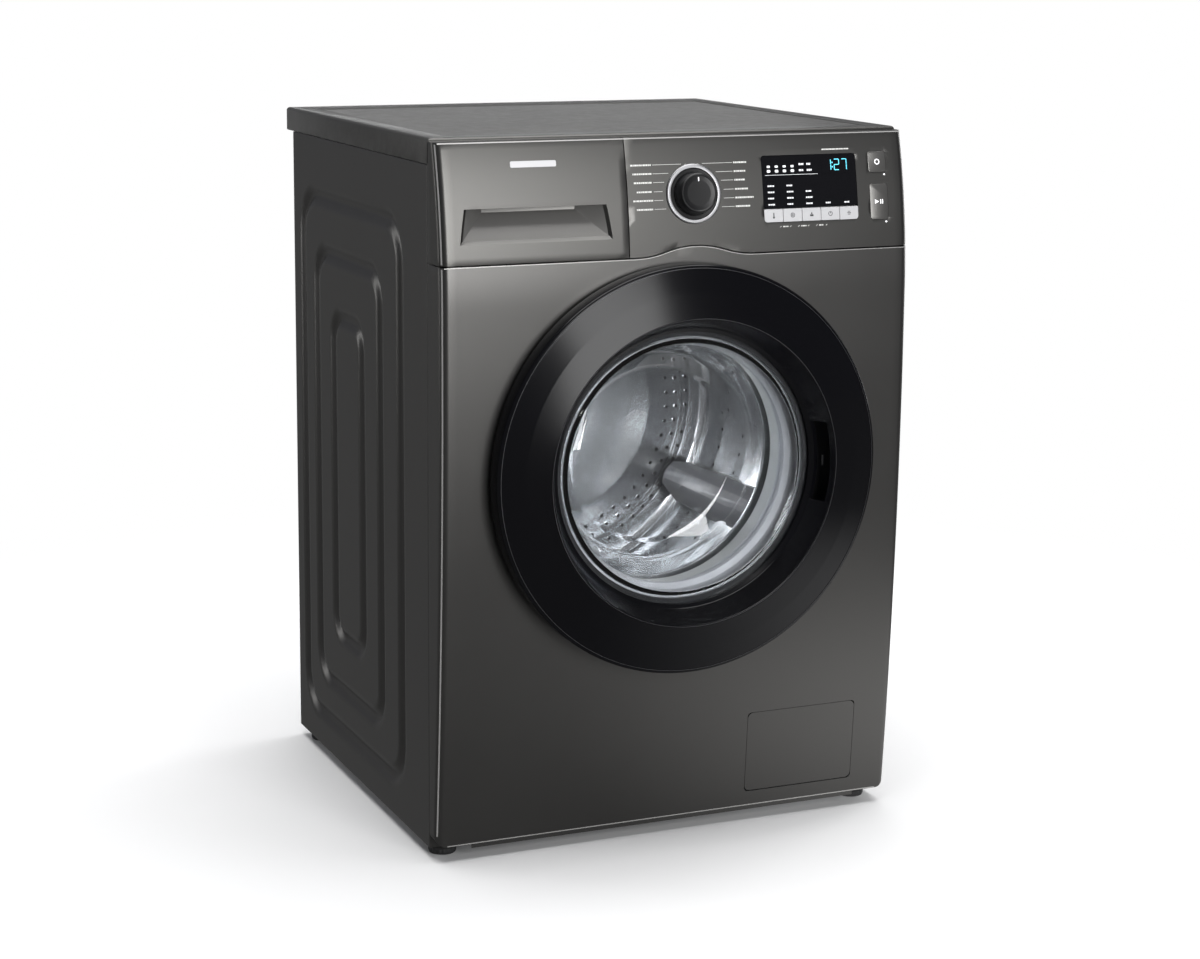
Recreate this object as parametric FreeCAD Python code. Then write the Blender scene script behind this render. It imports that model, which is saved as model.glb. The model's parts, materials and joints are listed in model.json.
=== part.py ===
import FreeCAD, Part
import math
import os

# Front-loading washing machine.  Millimetres, +Z up, the door faces -Y.
# The origin is on the floor, under the middle of the machine's overall box.

V = FreeCAD.Vector
X_AXIS = V(1, 0, 0)
Y_AXIS = V(0, 1, 0)
Z_AXIS = V(0, 0, 1)

# ---------------------------------------------------------------- overall sizes
width = 600.0
height = 850.0
cabinet_depth = 565.0          # foremost line of the front to the side panels' rear edges
worktop_overhang = 29.0        # worktop past the side panels at the rear
door_proud = 45.0              # door's inner rim in front of the front panel
foot_height = 14.0             # floor to the underside of the cabinet

total_depth = door_proud + cabinet_depth + worktop_overhang
half = width / 2
front = door_proud - total_depth / 2
back = front + cabinet_depth
worktop_back = back + worktop_overhang

# ---------------------------------------------------------------- sheet and clearances
sheet = 1.2                    # steel sheet
moulding = 3.0                 # plastic wall
gap_seam = 1.5                 # visible seams between the front's parts
gap_button = 0.3               # round each button
fit_running = 0.06             # radial, shaft in bush
gap_soft = 0.3                 # belt to pulley, hose to tub

# ---------------------------------------------------------------- heights down the front
fascia_top = height - 4.0
fascia_height = 138.0
seam_z = fascia_top - fascia_height
axis_z = seam_z - 249.0        # door, tub and drum share this height
door_radius = 243.5

# ---------------------------------------------------------------- front's side view
# Upright between nose_low and nose_high, curving back above and, barely, below.
nose_high = seam_z - 48.0
nose_low = nose_high - 60.0
brow_radius = 720.0
shin_radius = 7000.0
edge_radius = 10.0             # the front's upright edges
side_front_set = 46.0          # side panels' front edge behind the foremost line
side_front = front + side_front_set
skin_back = side_front - 0.5
panel_bottom = 20.0
panel_corner = 14.0

# ---------------------------------------------------------------- control fascia
fascia_top_depth = 16.0
drawer_edge = -68.0            # seam between drawer front and fascia
arch_start = -60.0             # the seam rises over the door between these
arch_end = 92.0
arch_rise = 12.0
worktop_gap = 1.5

dial_x, dial_z = 15.5, seam_z + 72.0
dial_base_radius = 35.0
dial_base_height = 2.5
dial_radius = 24.0
dial_height = 14.0
dial_shaft_radius = 4.0

display_x0, display_x1 = half - 194.0, half - 68.0
display_z0, display_z1 = seam_z + 51.5, seam_z + 113.0
key_z0, key_z1 = seam_z + 35.5, display_z0 - 0.5
key_count = 5
button_x0, button_x1 = half - 51.0, half - 27.0
power_box = (button_x0, button_x1, seam_z + 90.0, seam_z + 114.0)
start_box = (button_x0, button_x1, seam_z + 34.0, seam_z + 76.0)
button_proud = 0.6
button_depth = 9.0
button_radius = 3.0
key_inset = 0.25               # half the slit between two option keys

recess_x0, recess_x1 = -half + 24.0, drawer_edge - 21.0
recess_z0, recess_z1 = seam_z + 24.0, seam_z + 64.0
recess_depth = 24.0
recess_ramp = 36.0

# ---------------------------------------------------------------- door
rim_radius = door_radius - 62.0        # inner edge of the door's face
window_radius = rim_radius - 18.5      # glass seen inside the door's inner wall
door_edge_proud = 28.0         # outer edge of the face in front of the panel
door_gap = 2.5
door_wall = 3.0
glass_wall = 4.0
bowl_front_radius = window_radius - 11.0
bowl_back_radius = bowl_front_radius - 20.0
bowl_depth = 75.0              # end of the bowl's wall behind the front
bowl_crown = 17.0
hinge_x = -door_radius + 17.5
hinge_y = front - 20.5
hinge_pin_radius = 2.5
knuckle_radius = 5.0
knuckle_low, knuckle_high = 8.5, 24.5
ear_thickness = 8.0
arm_half = 2.0
arm_end = 44.0                 # arm's reach right of the pin
latch_x = (rim_radius + door_radius) / 2 - 7.5
port_radius = window_radius + 13.0     # loading port in the front panel
port_flange = 16.0

# ---------------------------------------------------------------- drum and tub
drum_radius = 238.0
drum_front = front + 84.0
drum_length = 345.0
drum_wall = 1.0
drum_mouth = bowl_front_radius + 3.0
tub_clearance = 20.0
tub_wall = 4.0
tub_radius = drum_radius + tub_clearance + tub_wall
tub_front_y = drum_front - 14.0
tub_back_y = drum_front + drum_length + 18.0
tub_seam_y = drum_front + 145.0
flange_radius = tub_radius + 12.0
neck_radius = drum_mouth + 3.0
neck_y = tub_front_y - 20.0
shaft_radius = 15.0
bearing_radius = 31.0
bearing_width = 16.0
pulley_radius = 140.0
pulley_width = 14.0
pulley_y = tub_back_y + 58.0
motor_pulley_radius = 10.0
motor_radius = 58.0
motor_x, motor_z = 90.0, axis_z - tub_radius - motor_radius - 11.0
belt_thickness = 3.0
tub_screw_count = 10
heater_radius = 4.0
paddle_count = 3
paddle_height = 46.0

# ---------------------------------------------------------------- suspension and water
spring_x, spring_y = tub_radius - 47.0, front + 330.0
spring_radius = 12.0
spring_top, spring_bottom = height - 55.0, axis_z + 213.0
damper_x, damper_y = tub_radius - 92.0, front + 300.0
damper_radius = 13.0
damper_bore = 8.0
damper_top = 150.0
flap_width, flap_height = 149.0, 103.0
flap_x0, flap_z0 = half - 199.0, 39.0
flap_x1, flap_z1 = flap_x0 + flap_width, flap_z0 + flap_height
pump_x, pump_z = (flap_x0 + flap_x1) / 2, (flap_z0 + flap_z1) / 2
pump_radius = 36.0
filter_radius = 22.0
sump_hose_x, sump_hose_y = pump_x - 10.5, front + 150.0
sump_hose_radius = 20.0
fill_hose_x, fill_hose_y = -180.0, front + 150.0
fill_hose_radius = 17.0
flap_gap = 1.0

# ---------------------------------------------------------------- dispenser, worktop, feet
housing_x0, housing_x1 = -half + 12.0, drawer_edge - 10.0
housing_z0, housing_z1 = seam_z + 30.0, fascia_top - 31.0
housing_length = 250.0
tray_clearance = 3.0
tray_wall = 2.5
worktop_thickness = 30.0
board_thickness = 11.0
board_half = half - 29.0
board_front_border = 29.0
board_back = back - 27.0
board_gap = 1.0
inlet_places = (-130.0, -80.0)
inlet_radius = 13.2
inlet_length = 24.0
inlet_z = height - 75.0
gland_x, gland_z = 180.0, height - 90.0
spigot_x, spigot_z = -200.0, 120.0
spigot_radius = 11.0
foot_radius = 17.0
foot_x = half - 24.0
foot_front_y = front + 69.0
foot_rear_y = back - 29.0
stud_radius = 5.0

parts = {}


# ================================================================ shape helpers
def box(x0, x1, y0, y1, z0, z1):
    return Part.makeBox(x1 - x0, y1 - y0, z1 - z0, V(x0, y0, z0))


def rod(radius, point, direction, length):
    return Part.makeCylinder(radius, length, point, direction)


def pipe(outer, inner, point, direction, length):
    return rod(outer, point, direction, length).cut(rod(inner, point, direction, length))


def along_y(outer, inner, y0, y1, x=0.0, z=axis_z):
    """A ring or disc about a line parallel to Y."""
    point = V(x, y0, z)
    if inner <= 0:
        return rod(outer, point, Y_AXIS, y1 - y0)
    return pipe(outer, inner, point, Y_AXIS, y1 - y0)


def turned(profile):
    """Revolve (radius, y) points about the door and drum axis."""
    points = [V(r, y, axis_z) for r, y in profile]
    face = Part.Face(Part.makePolygon(points + points[:1]))
    return face.revolve(V(0, 0, axis_z), Y_AXIS, 360)


def joined(shapes):
    result = shapes[0]
    for shape in shapes[1:]:
        result = result.fuse(shape)
    return result.removeSplitter()


def mirrored_x(shape):
    return shape.mirror(V(0, 0, 0), X_AXIS)


def rounded_wire(place, u0, u1, v0, v1, radius):
    """Rounded rectangle; place(u, v) gives the point in space."""
    turn = radius * (1 - math.sqrt(0.5))
    corners = [(u1, v0, -1, 1), (u1, v1, -1, -1), (u0, v1, 1, -1), (u0, v0, 1, 1)]
    edges = []
    ends = []
    for i, (u, v, du, dv) in enumerate(corners):
        on_u = place(u + du * radius, v)
        on_v = place(u, v + dv * radius)
        first, last = (on_u, on_v) if i % 2 == 0 else (on_v, on_u)
        ends.append((first, place(u + du * turn, v + dv * turn), last))
    for i, (first, middle, last) in enumerate(ends):
        edges.append(Part.LineSegment(ends[i - 1][2], first).toShape())
        edges.append(Part.Arc(first, middle, last).toShape())
    return Part.Wire(edges)


def front_plate(x0, x1, z0, z1, radius):
    """Rounded rectangle in the front view, running through the whole front skin."""
    wire = rounded_wire(lambda u, v: V(u, front - 20, v), x0, x1, z0, z1, radius)
    return Part.Face(wire).extrude(V(0, side_front_set + 30, 0))


# ================================================================ the front's skin
def skin_y(z, inset=0.0):
    """Y of the front's surface at height z, moved inwards by inset."""
    if z > nose_high:
        return front + brow_radius - math.sqrt((brow_radius - inset) ** 2 - (z - nose_high) ** 2)
    if z < nose_low:
        return front + shin_radius - math.sqrt((shin_radius - inset) ** 2 - (nose_low - z) ** 2)
    return front + inset


def skin_block(inset):
    """Everything behind the front's surface moved inwards by inset."""
    x = half - inset
    top = height + 20.0
    y_back = skin_back if inset <= 0 else side_front + 60.0

    def point(z):
        return V(-x, skin_y(z, inset), z)

    edges = [
        Part.LineSegment(V(-x, y_back, 0), point(0)).toShape(),
        Part.Arc(point(0), point(nose_low / 2), point(nose_low)).toShape(),
        Part.LineSegment(point(nose_low), point(nose_high)).toShape(),
        Part.Arc(point(nose_high), point((nose_high + top) / 2), point(top)).toShape(),
        Part.LineSegment(point(top), V(-x, y_back, top)).toShape(),
        Part.LineSegment(V(-x, y_back, top), V(-x, y_back, 0)).toShape(),
    ]
    block = Part.Face(Part.Wire(edges)).extrude(V(2 * x, 0, 0))
    upright = [e for e in block.Edges if is_front_edge(e, y_back)]
    return block.makeFillet(edge_radius - min(inset, edge_radius - 1.0), upright)


def is_front_edge(edge, y_back):
    bounds = edge.BoundBox
    return bounds.XLength < 0.01 and bounds.ZLength > 1 and bounds.YMax < y_back - 1


def skin(outer, inner):
    """The front's wall between two insets."""
    return skin_block(outer).cut(skin_block(inner))


def seam_line(z, x0, x1):
    """The seam over the door from x0 to x1: level, with a low arch in the middle."""
    y = front - 20
    if x1 <= arch_start:
        return [Part.LineSegment(V(x0, y, z), V(x1, y, z)).toShape()]
    run = (arch_end - arch_start) / 4
    radius = (run ** 2 + (arch_rise / 2) ** 2) / arch_rise
    angle = math.asin(run / radius)
    rise = radius * (1 - math.cos(angle / 2))
    shift = radius * math.sin(angle / 2)
    quarter = [arch_start + run * i for i in range(5)]
    levels = [z, z + arch_rise / 2, z + arch_rise, z + arch_rise / 2, z]
    middles = [(quarter[0] + shift, z + rise), (quarter[2] - shift, levels[2] - rise),
               (quarter[2] + shift, levels[2] - rise), (quarter[4] - shift, z + rise)]
    edges = []
    if x0 < arch_start:
        edges.append(Part.LineSegment(V(x0, y, z), V(arch_start, y, z)).toShape())
    for i, (mx, mz) in enumerate(middles):
        start = V(quarter[i], y, levels[i])
        end = V(quarter[i + 1], y, levels[i + 1])
        edges.append(Part.Arc(start, V(mx, y, mz), end).toShape())
    edges.append(Part.LineSegment(V(arch_end, y, z), V(x1, y, z)).toShape())
    return edges


def seam_zone(lower, upper, x0, x1):
    """Front-view zone between two outlines, each a seam height or a level."""
    y = front - 20
    low = seam_line(lower[1], x0, x1) if lower[0] == "seam" else [
        Part.LineSegment(V(x0, y, lower[1]), V(x1, y, lower[1])).toShape()]
    high = seam_line(upper[1], x0, x1) if upper[0] == "seam" else [
        Part.LineSegment(V(x0, y, upper[1]), V(x1, y, upper[1])).toShape()]
    left = Part.LineSegment(V(x0, y, lower[1]), V(x0, y, upper[1])).toShape()
    right = Part.LineSegment(V(x1, y, lower[1]), V(x1, y, upper[1])).toShape()
    wire = Part.Wire(Part.__sortEdges__(low + high + [left, right]))
    return Part.Face(wire).extrude(V(0, side_front_set + 30, 0))


wide = half + 5
above_worktop = box(-wide, wide, skin_y(fascia_top) + fascia_top_depth, back,
                    height - worktop_thickness - 1, height + 50)


# ================================================================ cabinet
def groove(y0, y1, z0, z1, radius, grow):
    """A pressed channel round the side panel; grow thickens it by the sheet."""
    channel_width, channel_depth, slope = 24.0, 6.0, 7.0
    depth = channel_depth + grow

    def wire(x, inset):
        return rounded_wire(lambda u, v: V(x, u, v), y0 + inset, y1 - inset,
                            z0 + inset, z1 - inset, max(radius - inset, 4.0))

    outer = Part.makeLoft([wire(-half, -grow), wire(-half + depth, slope - grow)], True, True)
    island = Part.makeLoft([wire(-half, channel_width + grow),
                            wire(-half + depth, channel_width - slope + grow)], True, True)
    return outer.cut(island)


def side_panel():
    """Left side panel: flanged sheet with three pressed channels."""
    bottom, top = foot_height, height - worktop_thickness
    turn = 15.0
    x_in = -half + sheet
    panel = joined([
        box(-half, x_in, side_front, back, bottom, top),
        box(-half, -half + turn, side_front, side_front + sheet, bottom, top),
        box(-half, -half + turn, back - sheet, back, bottom, top),
        box(-half, -half + turn, side_front, back, bottom, bottom + sheet),
        box(-half, -half + turn, side_front, back, top - sheet, top),
    ])
    for ring in groove_rings():
        panel = panel.fuse(groove(*ring, sheet)).cut(groove(*ring, 0.0))
    hanger = box(x_in, -spring_x + 14, spring_y - 12, spring_y + 12, spring_top, spring_top + 4)
    return panel.fuse(hanger).removeSplitter()


def groove_rings():
    """(y0, y1, z0, z1, corner radius) of each pressed channel."""
    return [
        (side_front + 85, back - 28, foot_height + 34, height - 93, 62.0),
        (side_front + 160, back - 85, foot_height + 88, height - 162, 52.0),
        (side_front + 230, back - 153, foot_height + 159, height - 238, 42.0),
    ]


def make_cabinet_shell():
    parts["side_panel_left"] = side_panel()
    parts["side_panel_right"] = mirrored_x(parts["side_panel_left"])
    inner = half - sheet - 0.3
    top = height - worktop_thickness

    # Rear panel with a large service hole behind the pulley.
    rear = box(-inner, inner, back - 2 * sheet - 0.2, back - sheet - 0.2, foot_height + 2, top - 2)
    service_radius = pulley_radius + 25
    rear = rear.cut(along_y(service_radius, 0, back - 20, back + 20))
    for x in inlet_places:
        rear = rear.cut(rod(inlet_radius + 0.8, V(x, back - 20, inlet_z), Y_AXIS, 40))
    rear = rear.cut(rod(9.0, V(gland_x, back - 20, gland_z), Y_AXIS, 40))
    rear = rear.cut(rod(spigot_radius + 3, V(spigot_x, back - 20, spigot_z), Y_AXIS, 40))
    parts["rear_panel"] = rear

    y0 = back - sheet - 0.2
    cover_radius = service_radius + 18
    cover = turned([(0, y0 + 18), (service_radius - 20, y0 + 18), (service_radius - 4, y0 + 2 * sheet),
                    (cover_radius, y0 + 2 * sheet), (cover_radius, y0), (service_radius - 3, y0),
                    (service_radius - 21, y0 + 18 - sheet), (0, y0 + 18 - sheet)])
    parts["rear_cover"] = cover

    # Base pan: tray with upturned edges and a hole for each foot.
    floor_y0, floor_y1 = side_front + 2, back - 2 * sheet - 0.6
    pan_x = inner - 0.5
    low = foot_height + sheet + 0.2
    pan = box(-pan_x, pan_x, floor_y0, floor_y1, low, low + 1.6)
    lip = box(-pan_x, pan_x, floor_y0, floor_y1, low, low + 18).cut(
        box(-pan_x + 1.6, pan_x - 1.6, floor_y0 + 1.6, floor_y1 - 1.6, low, low + 18))
    lip = lip.cut(joined([box(s * half - 20, s * half + 20, floor_y0 - 5, floor_y0 + 20, low + 1.6, low + 30)
                          for s in (-1, 1)]))
    pan = joined([pan, lip])
    for x, y in foot_places():
        pan = pan.cut(rod(stud_radius + fit_running, V(x, y, 0), Z_AXIS, 60))
    parts["base_pan"] = pan


def foot_places():
    return [(sx * foot_x, y) for y in (foot_front_y, foot_rear_y) for sx in (-1, 1)]


def make_front_panel():
    lip_half = half - 45
    below = panel_bottom - 5
    wall = skin(0, sheet)
    outline = seam_zone(("level", below), ("seam", seam_z), -half - 1, half + 1)
    corner = front_plate(-half - 0.01, half + 0.01, panel_bottom, seam_z + 200, panel_corner)
    flange = skin(0, 14).common(seam_zone(("seam", seam_z - sheet), ("seam", seam_z), -half - 1, half + 1))
    foot_flange = skin_block(0).common(box(-half, half, front, skin_back, below, panel_bottom + sheet))
    lip_y = skin_y(panel_bottom) + 1.5
    lip = box(-lip_half, lip_half, lip_y, lip_y + sheet, foot_height + 0.5, panel_bottom + sheet)
    panel = wall.common(outline).fuse(flange).fuse(foot_flange).common(corner).fuse(lip)

    # Loading port with a rim turned inwards, where the seal is seated.
    panel = panel.cut(along_y(port_radius, 0, front - 5, side_front + 30))
    rim_y = skin_y(axis_z)
    panel = panel.fuse(along_y(port_radius + 2, port_radius, rim_y, front + port_flange).common(
        skin_block(sheet / 2)))
    panel = panel.cut(along_y(port_radius, 0, front - 5, side_front + 30))

    # Openings: filter flap, latch slot and the two hinge arms.
    panel = panel.cut(front_plate(flap_x0, flap_x1, flap_z0, flap_z1, 5.0))
    panel = panel.cut(box(latch_x - 8, latch_x + 10, front - 5, front + 20, axis_z - 14, axis_z + 14))
    for z0, z1 in arm_levels():
        x1 = hinge_x + arm_end
        panel = panel.cut(box(x1 - 10, x1 + 1, front - 5, front + 20, z0 - 1, z1 + 1))
    parts["front_panel"] = panel.removeSplitter()


def arm_levels():
    return [(axis_z + knuckle_low, axis_z + knuckle_high), (axis_z - knuckle_high, axis_z - knuckle_low)]


# ================================================================ control fascia and drawer front
def key_boxes():
    pitch = (display_x1 - display_x0) / key_count
    return [(display_x0 + pitch * i, display_x0 + pitch * (i + 1), key_z0, key_z1) for i in range(key_count)]


def button_boxes():
    boxes = {"power_button": power_box, "start_button": start_box}
    for i, key in enumerate(key_boxes()):
        boxes["option_button_%d" % (i + 1)] = key
    return boxes


def fascia_normal():
    """Placement of a local frame on the fascia: local Z outwards, local Y up the face."""
    lean = math.degrees(math.asin((dial_z - nose_high) / brow_radius))
    return FreeCAD.Placement(V(dial_x, skin_y(dial_z), dial_z), FreeCAD.Rotation(X_AXIS, 90 - lean))


def on_dial(shape):
    shape.Placement = fascia_normal()
    return shape.copy()


def make_fascia():
    low = seam_z + gap_seam
    x0 = drawer_edge
    zone = seam_zone(("seam", low), ("level", fascia_top), x0, wide)
    wall = skin(0, moulding)
    rims = skin_block(0).common(joined([
        seam_zone(("seam", low), ("seam", low + moulding), x0, wide).common(box(
            -wide, wide, front - 5, front + side_front_set - 20, 0, height)),
        box(x0, wide, front - 5, skin_y(fascia_top) + fascia_top_depth, fascia_top - moulding, fascia_top),
        box(x0, x0 + moulding, front - 5, skin_back, low, fascia_top),
    ]))
    fascia = wall.fuse(rims).common(zone).cut(above_worktop)
    fascia = fascia.cut(front_plate(display_x0, display_x1, display_z0, display_z1, 4.0))
    keys_hole = front_plate(display_x0, display_x1, key_z0 - 0.5, display_z0 + 5, 4.0)
    fascia = fascia.cut(keys_hole)
    for x0b, x1b, z0b, z1b in (power_box, start_box):
        fascia = fascia.cut(front_plate(x0b - gap_button, x1b + gap_button, z0b - gap_button,
                                        z1b + gap_button, button_radius + gap_button))
    shaft_hole = rod(dial_shaft_radius + 1.5, V(0, 0, -40), Z_AXIS, 50)
    fascia = fascia.cut(on_dial(shaft_hole))
    seat = rod(dial_base_radius + 0.2, V(0, 0, -1.6), Z_AXIS, 10)
    parts["control_fascia"] = fascia.cut(on_dial(seat)).removeSplitter()

    inset = 0.2
    window = skin(0.1, 3.6).common(front_plate(
        display_x0 + inset, display_x1 - inset, display_z0 + gap_button, display_z1 - inset, 3.8))
    parts["display_window"] = window

    bezel = rod(dial_base_radius, V(0, 0, -1.5), Z_AXIS, 1.5 + dial_base_height)
    bezel = bezel.makeChamfer(1.2, [e for e in bezel.Edges if e.BoundBox.ZMin > dial_base_height - 0.1])
    bezel = bezel.cut(rod(dial_shaft_radius + fit_running, V(0, 0, -5), Z_AXIS, 20))
    parts["dial_bezel"] = on_dial(bezel)


def make_drawer_front():
    low = seam_z + gap_seam
    x1 = drawer_edge - 1.2
    zone = box(-wide, x1, front - 20, skin_back + 1, low, fascia_top)
    wall = skin(0, moulding)
    rims = skin_block(0).common(joined([
        box(-wide, x1, front - 5, front + side_front_set - 20, low, low + moulding),
        box(-wide, x1, front - 5, skin_y(fascia_top) + fascia_top_depth, fascia_top - moulding, fascia_top),
        box(x1 - moulding, x1, front - 5, skin_back, low, fascia_top),
    ]))
    pull = finger_recess(moulding).common(skin_block(0))
    carrier = box(housing_x0 + 4, housing_x1 - 4, skin_back - 3, skin_back, housing_z0 + 4, housing_z1 - 4)
    ribs = joined([box(x, x + 3, front, skin_back, housing_z0 + 4, housing_z1 - 4)
                   for x in (housing_x0 + 4, housing_x1 - 7)])
    ribs = ribs.common(skin_block(0))
    front_part = joined([wall.fuse(rims), pull, carrier, ribs]).common(zone)
    parts["drawer_front"] = front_part.cut(finger_recess(0)).cut(above_worktop).removeSplitter()


def finger_recess(grow):
    """Wedge-shaped finger pull: sharp upper edge, ramped ends and floor."""
    z0, z1 = recess_z0 - grow, recess_z1 + grow
    y_mouth = skin_y(recess_z0) - 4
    depth = skin_y(recess_z1) + recess_depth + grow
    side = [V(0, y_mouth, z1), V(0, depth, z1), V(0, depth, z1 - 7 - 2 * grow),
            V(0, skin_y(recess_z0) + grow * 0.5, z0), V(0, y_mouth, z0)]
    wedge = Part.Face(Part.makePolygon(side + side[:1])).extrude(V(half, 0, 0))
    wedge.translate(V(recess_x0 - grow, 0, 0))
    x0, x1 = recess_x0 - grow, recess_x1 + grow
    y_skin = skin_y((recess_z0 + recess_z1) / 2)
    plan = [V(x0, y_mouth, 0), V(x0, y_skin, 0), V(x0 + recess_ramp, depth, 0),
            V(x1 - recess_ramp, depth, 0), V(x1, y_skin, 0), V(x1, y_mouth, 0)]
    ramps = Part.Face(Part.makePolygon(plan + plan[:1])).extrude(V(0, 0, height))
    return wedge.common(ramps)


def make_buttons():
    body = skin(-button_proud, button_depth)
    strip = front_plate(display_x0 + gap_button, display_x1 - gap_button, key_z0, display_z0 + 5, 3.8)
    for name, (x0, x1, z0, z1) in button_boxes().items():
        if name.startswith("option"):
            outline = front_plate(x0 + key_inset, x1 - key_inset, z0, z1 - key_inset, 0.8).common(strip)
        else:
            outline = front_plate(x0, x1, z0, z1, button_radius)
        parts[name] = body.common(outline)


def make_dial():
    clear = 0.4
    base = dial_base_height + clear
    skirt = Part.makeCone(dial_radius + 1.5, dial_radius - 1.0, dial_height, V(0, 0, base), Z_AXIS)
    cap = rod(dial_radius - 2.5, V(0, 0, base + dial_height), Z_AXIS, 1.2)
    shaft = rod(dial_shaft_radius, V(0, 0, -18), Z_AXIS, base + 20)
    parts["program_dial"] = on_dial(joined([skirt, cap, shaft]))


def make_control_board():
    y1 = skin_back
    y0 = y1 - 2.0
    board = box(0, half - 15, y0, y1, seam_z + 16, fascia_top - 34)
    socket = rod(12.0, V(dial_x, y0 - 6, dial_z - 3), Y_AXIS, 6)
    chips = box(display_x0 + 4, display_x1 - 2, y0 - 8, y0, key_z0 + 8, display_z1 - 21)
    parts["control_board"] = joined([board, chips, socket]).cut(
        on_dial(rod(dial_shaft_radius + 3, V(0, 0, -60), Z_AXIS, 60)))


# ================================================================ door
def make_door():
    edge = front - door_edge_proud
    crest = front - door_proud
    wall = door_wall
    ring = turned([
        (door_radius, front - 8.5), (door_radius, edge + 4), (door_radius - 3, edge),
        (rim_radius + 3, crest + 0.8), (rim_radius, crest), (rim_radius - 1.5, crest + 1.2),
        (window_radius + 4, front - 13), (window_radius, front - 12), (window_radius, front - 9.5),
        (window_radius + 6.6, front - 9.8), (rim_radius + 1.5, crest + 4.4), (rim_radius + 3.1, crest + 4.0),
        (door_radius - 4.5, edge + wall), (door_radius - wall, edge + 4.6), (door_radius - wall, front - 7.0),
        (door_radius - wall - 3, front - 5.5), (door_radius - wall, front - 5.5)])
    grip = box(window_radius - 5, rim_radius + 6, crest + 7, front - 16, axis_z - 48, axis_z + 48)
    parts["door_ring"] = ring.cut(grip)

    frame = joined([
        along_y(door_radius - 7.5, window_radius - 6, front - 5, front - door_gap),
        along_y(door_radius - 7.5, door_radius - 10.5, front - 14, front - 4),
        along_y(window_radius + 8.5, window_radius + 5.5, front - 9.4, front - 4),
    ])
    reach = arm_end + 2.5
    for z0, z1 in arm_levels():
        frame = frame.cut(box(hinge_x - 12, hinge_x + reach, front - 26, front + 5, z0 - 1, z1 + 1))
    frame = joined([frame] + [door_ear(z0, z1) for z0, z1 in ear_levels()])
    for z0, z1 in ear_levels():
        frame = frame.cut(rod(hinge_pin_radius + fit_running, V(hinge_x, hinge_y, z0 - 1), Z_AXIS,
                              z1 - z0 + 2))
    parts["door_frame"] = frame

    bowl_slope = (bowl_front_radius - bowl_back_radius) / (bowl_depth + 5)
    end = front + bowl_depth
    flange_y0, flange_y1 = front - 9.2, front - 5.2
    outer_start = bowl_front_radius + bowl_slope * 0.2
    glass = [(window_radius + 5, flange_y0), (window_radius + 5, flange_y1), (outer_start, flange_y1),
             (bowl_back_radius, end), (bowl_back_radius - 16, end + bowl_crown * 0.6),
             (bowl_back_radius * 0.55, end + bowl_crown * 0.94), (0, end + bowl_crown)]
    lining = [(0, end + bowl_crown - glass_wall),
              (bowl_back_radius * 0.55, end + bowl_crown * 0.94 - glass_wall),
              (bowl_back_radius - 18, end + bowl_crown * 0.6 - glass_wall),
              (bowl_back_radius - glass_wall, end - glass_wall * 0.4),
              (bowl_front_radius - glass_wall, flange_y0)]
    parts["door_glass"] = turned(glass + lining)

    hook = joined([
        box(latch_x - 2, latch_x + 2, front - 5, front + 15, axis_z - 9, axis_z + 9),
        box(latch_x - 6, latch_x + 2, front + 10.5, front + 15, axis_z - 9, axis_z + 9),
        box(latch_x - 9, latch_x + 9, front - 8, front - 5, axis_z - 14, axis_z + 14),
    ])
    parts["latch_hook"] = hook
    parts["door_frame"] = parts["door_frame"].cut(
        box(latch_x - 2.2, latch_x + 2.2, front - 10, front, axis_z - 9.2, axis_z + 9.2))


def ear_levels():
    high = knuckle_high + 1
    low = knuckle_low - 1
    return [(axis_z + high, axis_z + high + ear_thickness), (axis_z - low, axis_z + low),
            (axis_z - high - ear_thickness, axis_z - high)]


def door_ear(z0, z1):
    """Door's half of the hinge: an eye round the pin with a web to the inner frame."""
    eye = rod(knuckle_radius, V(hinge_x, hinge_y, z0), Z_AXIS, z1 - z0)
    web = box(hinge_x - 2, hinge_x + 5, hinge_y, front - 4, z0, z1)
    return eye.fuse(web)


def make_hinge():
    x1 = hinge_x + arm_end
    plate_y = front + 4.2
    pieces = [box(x1 - 18, x1 + 0.5, plate_y, plate_y + 3, axis_z - 55, axis_z + 55)]
    for z0, z1 in arm_levels():
        pieces.append(rod(knuckle_radius, V(hinge_x, hinge_y, z0), Z_AXIS, z1 - z0))
        pieces.append(box(hinge_x, x1, hinge_y - arm_half, hinge_y + arm_half, z0, z1))
        pieces.append(box(x1 - 8, x1, hinge_y - arm_half, plate_y + 1, z0, z1))
    low = axis_z - knuckle_high - 1 - ear_thickness
    high = axis_z + knuckle_high + 1 + ear_thickness
    pieces.append(rod(hinge_pin_radius, V(hinge_x, hinge_y, low), Z_AXIS, high - low))
    parts["hinge_bracket"] = joined(pieces)

    lock = box(latch_x - 20, latch_x + 20, front + 6, front + 34, axis_z - 45, axis_z + 45)
    throat = box(latch_x - 12, latch_x + 12, front, front + 24, axis_z - 13, axis_z + 13)
    keep = box(latch_x - 12, latch_x - 7.5, front + 6, front + 9, axis_z - 13, axis_z + 13)
    parts["door_lock"] = lock.cut(throat).fuse(keep)


# ================================================================ tub
def flange_places():
    step = 360.0 / tub_screw_count
    ring = tub_radius + 6
    return [(ring * math.cos(math.radians(step * (i + 0.5))), ring * math.sin(math.radians(step * (i + 0.5))))
            for i in range(tub_screw_count)]


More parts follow.
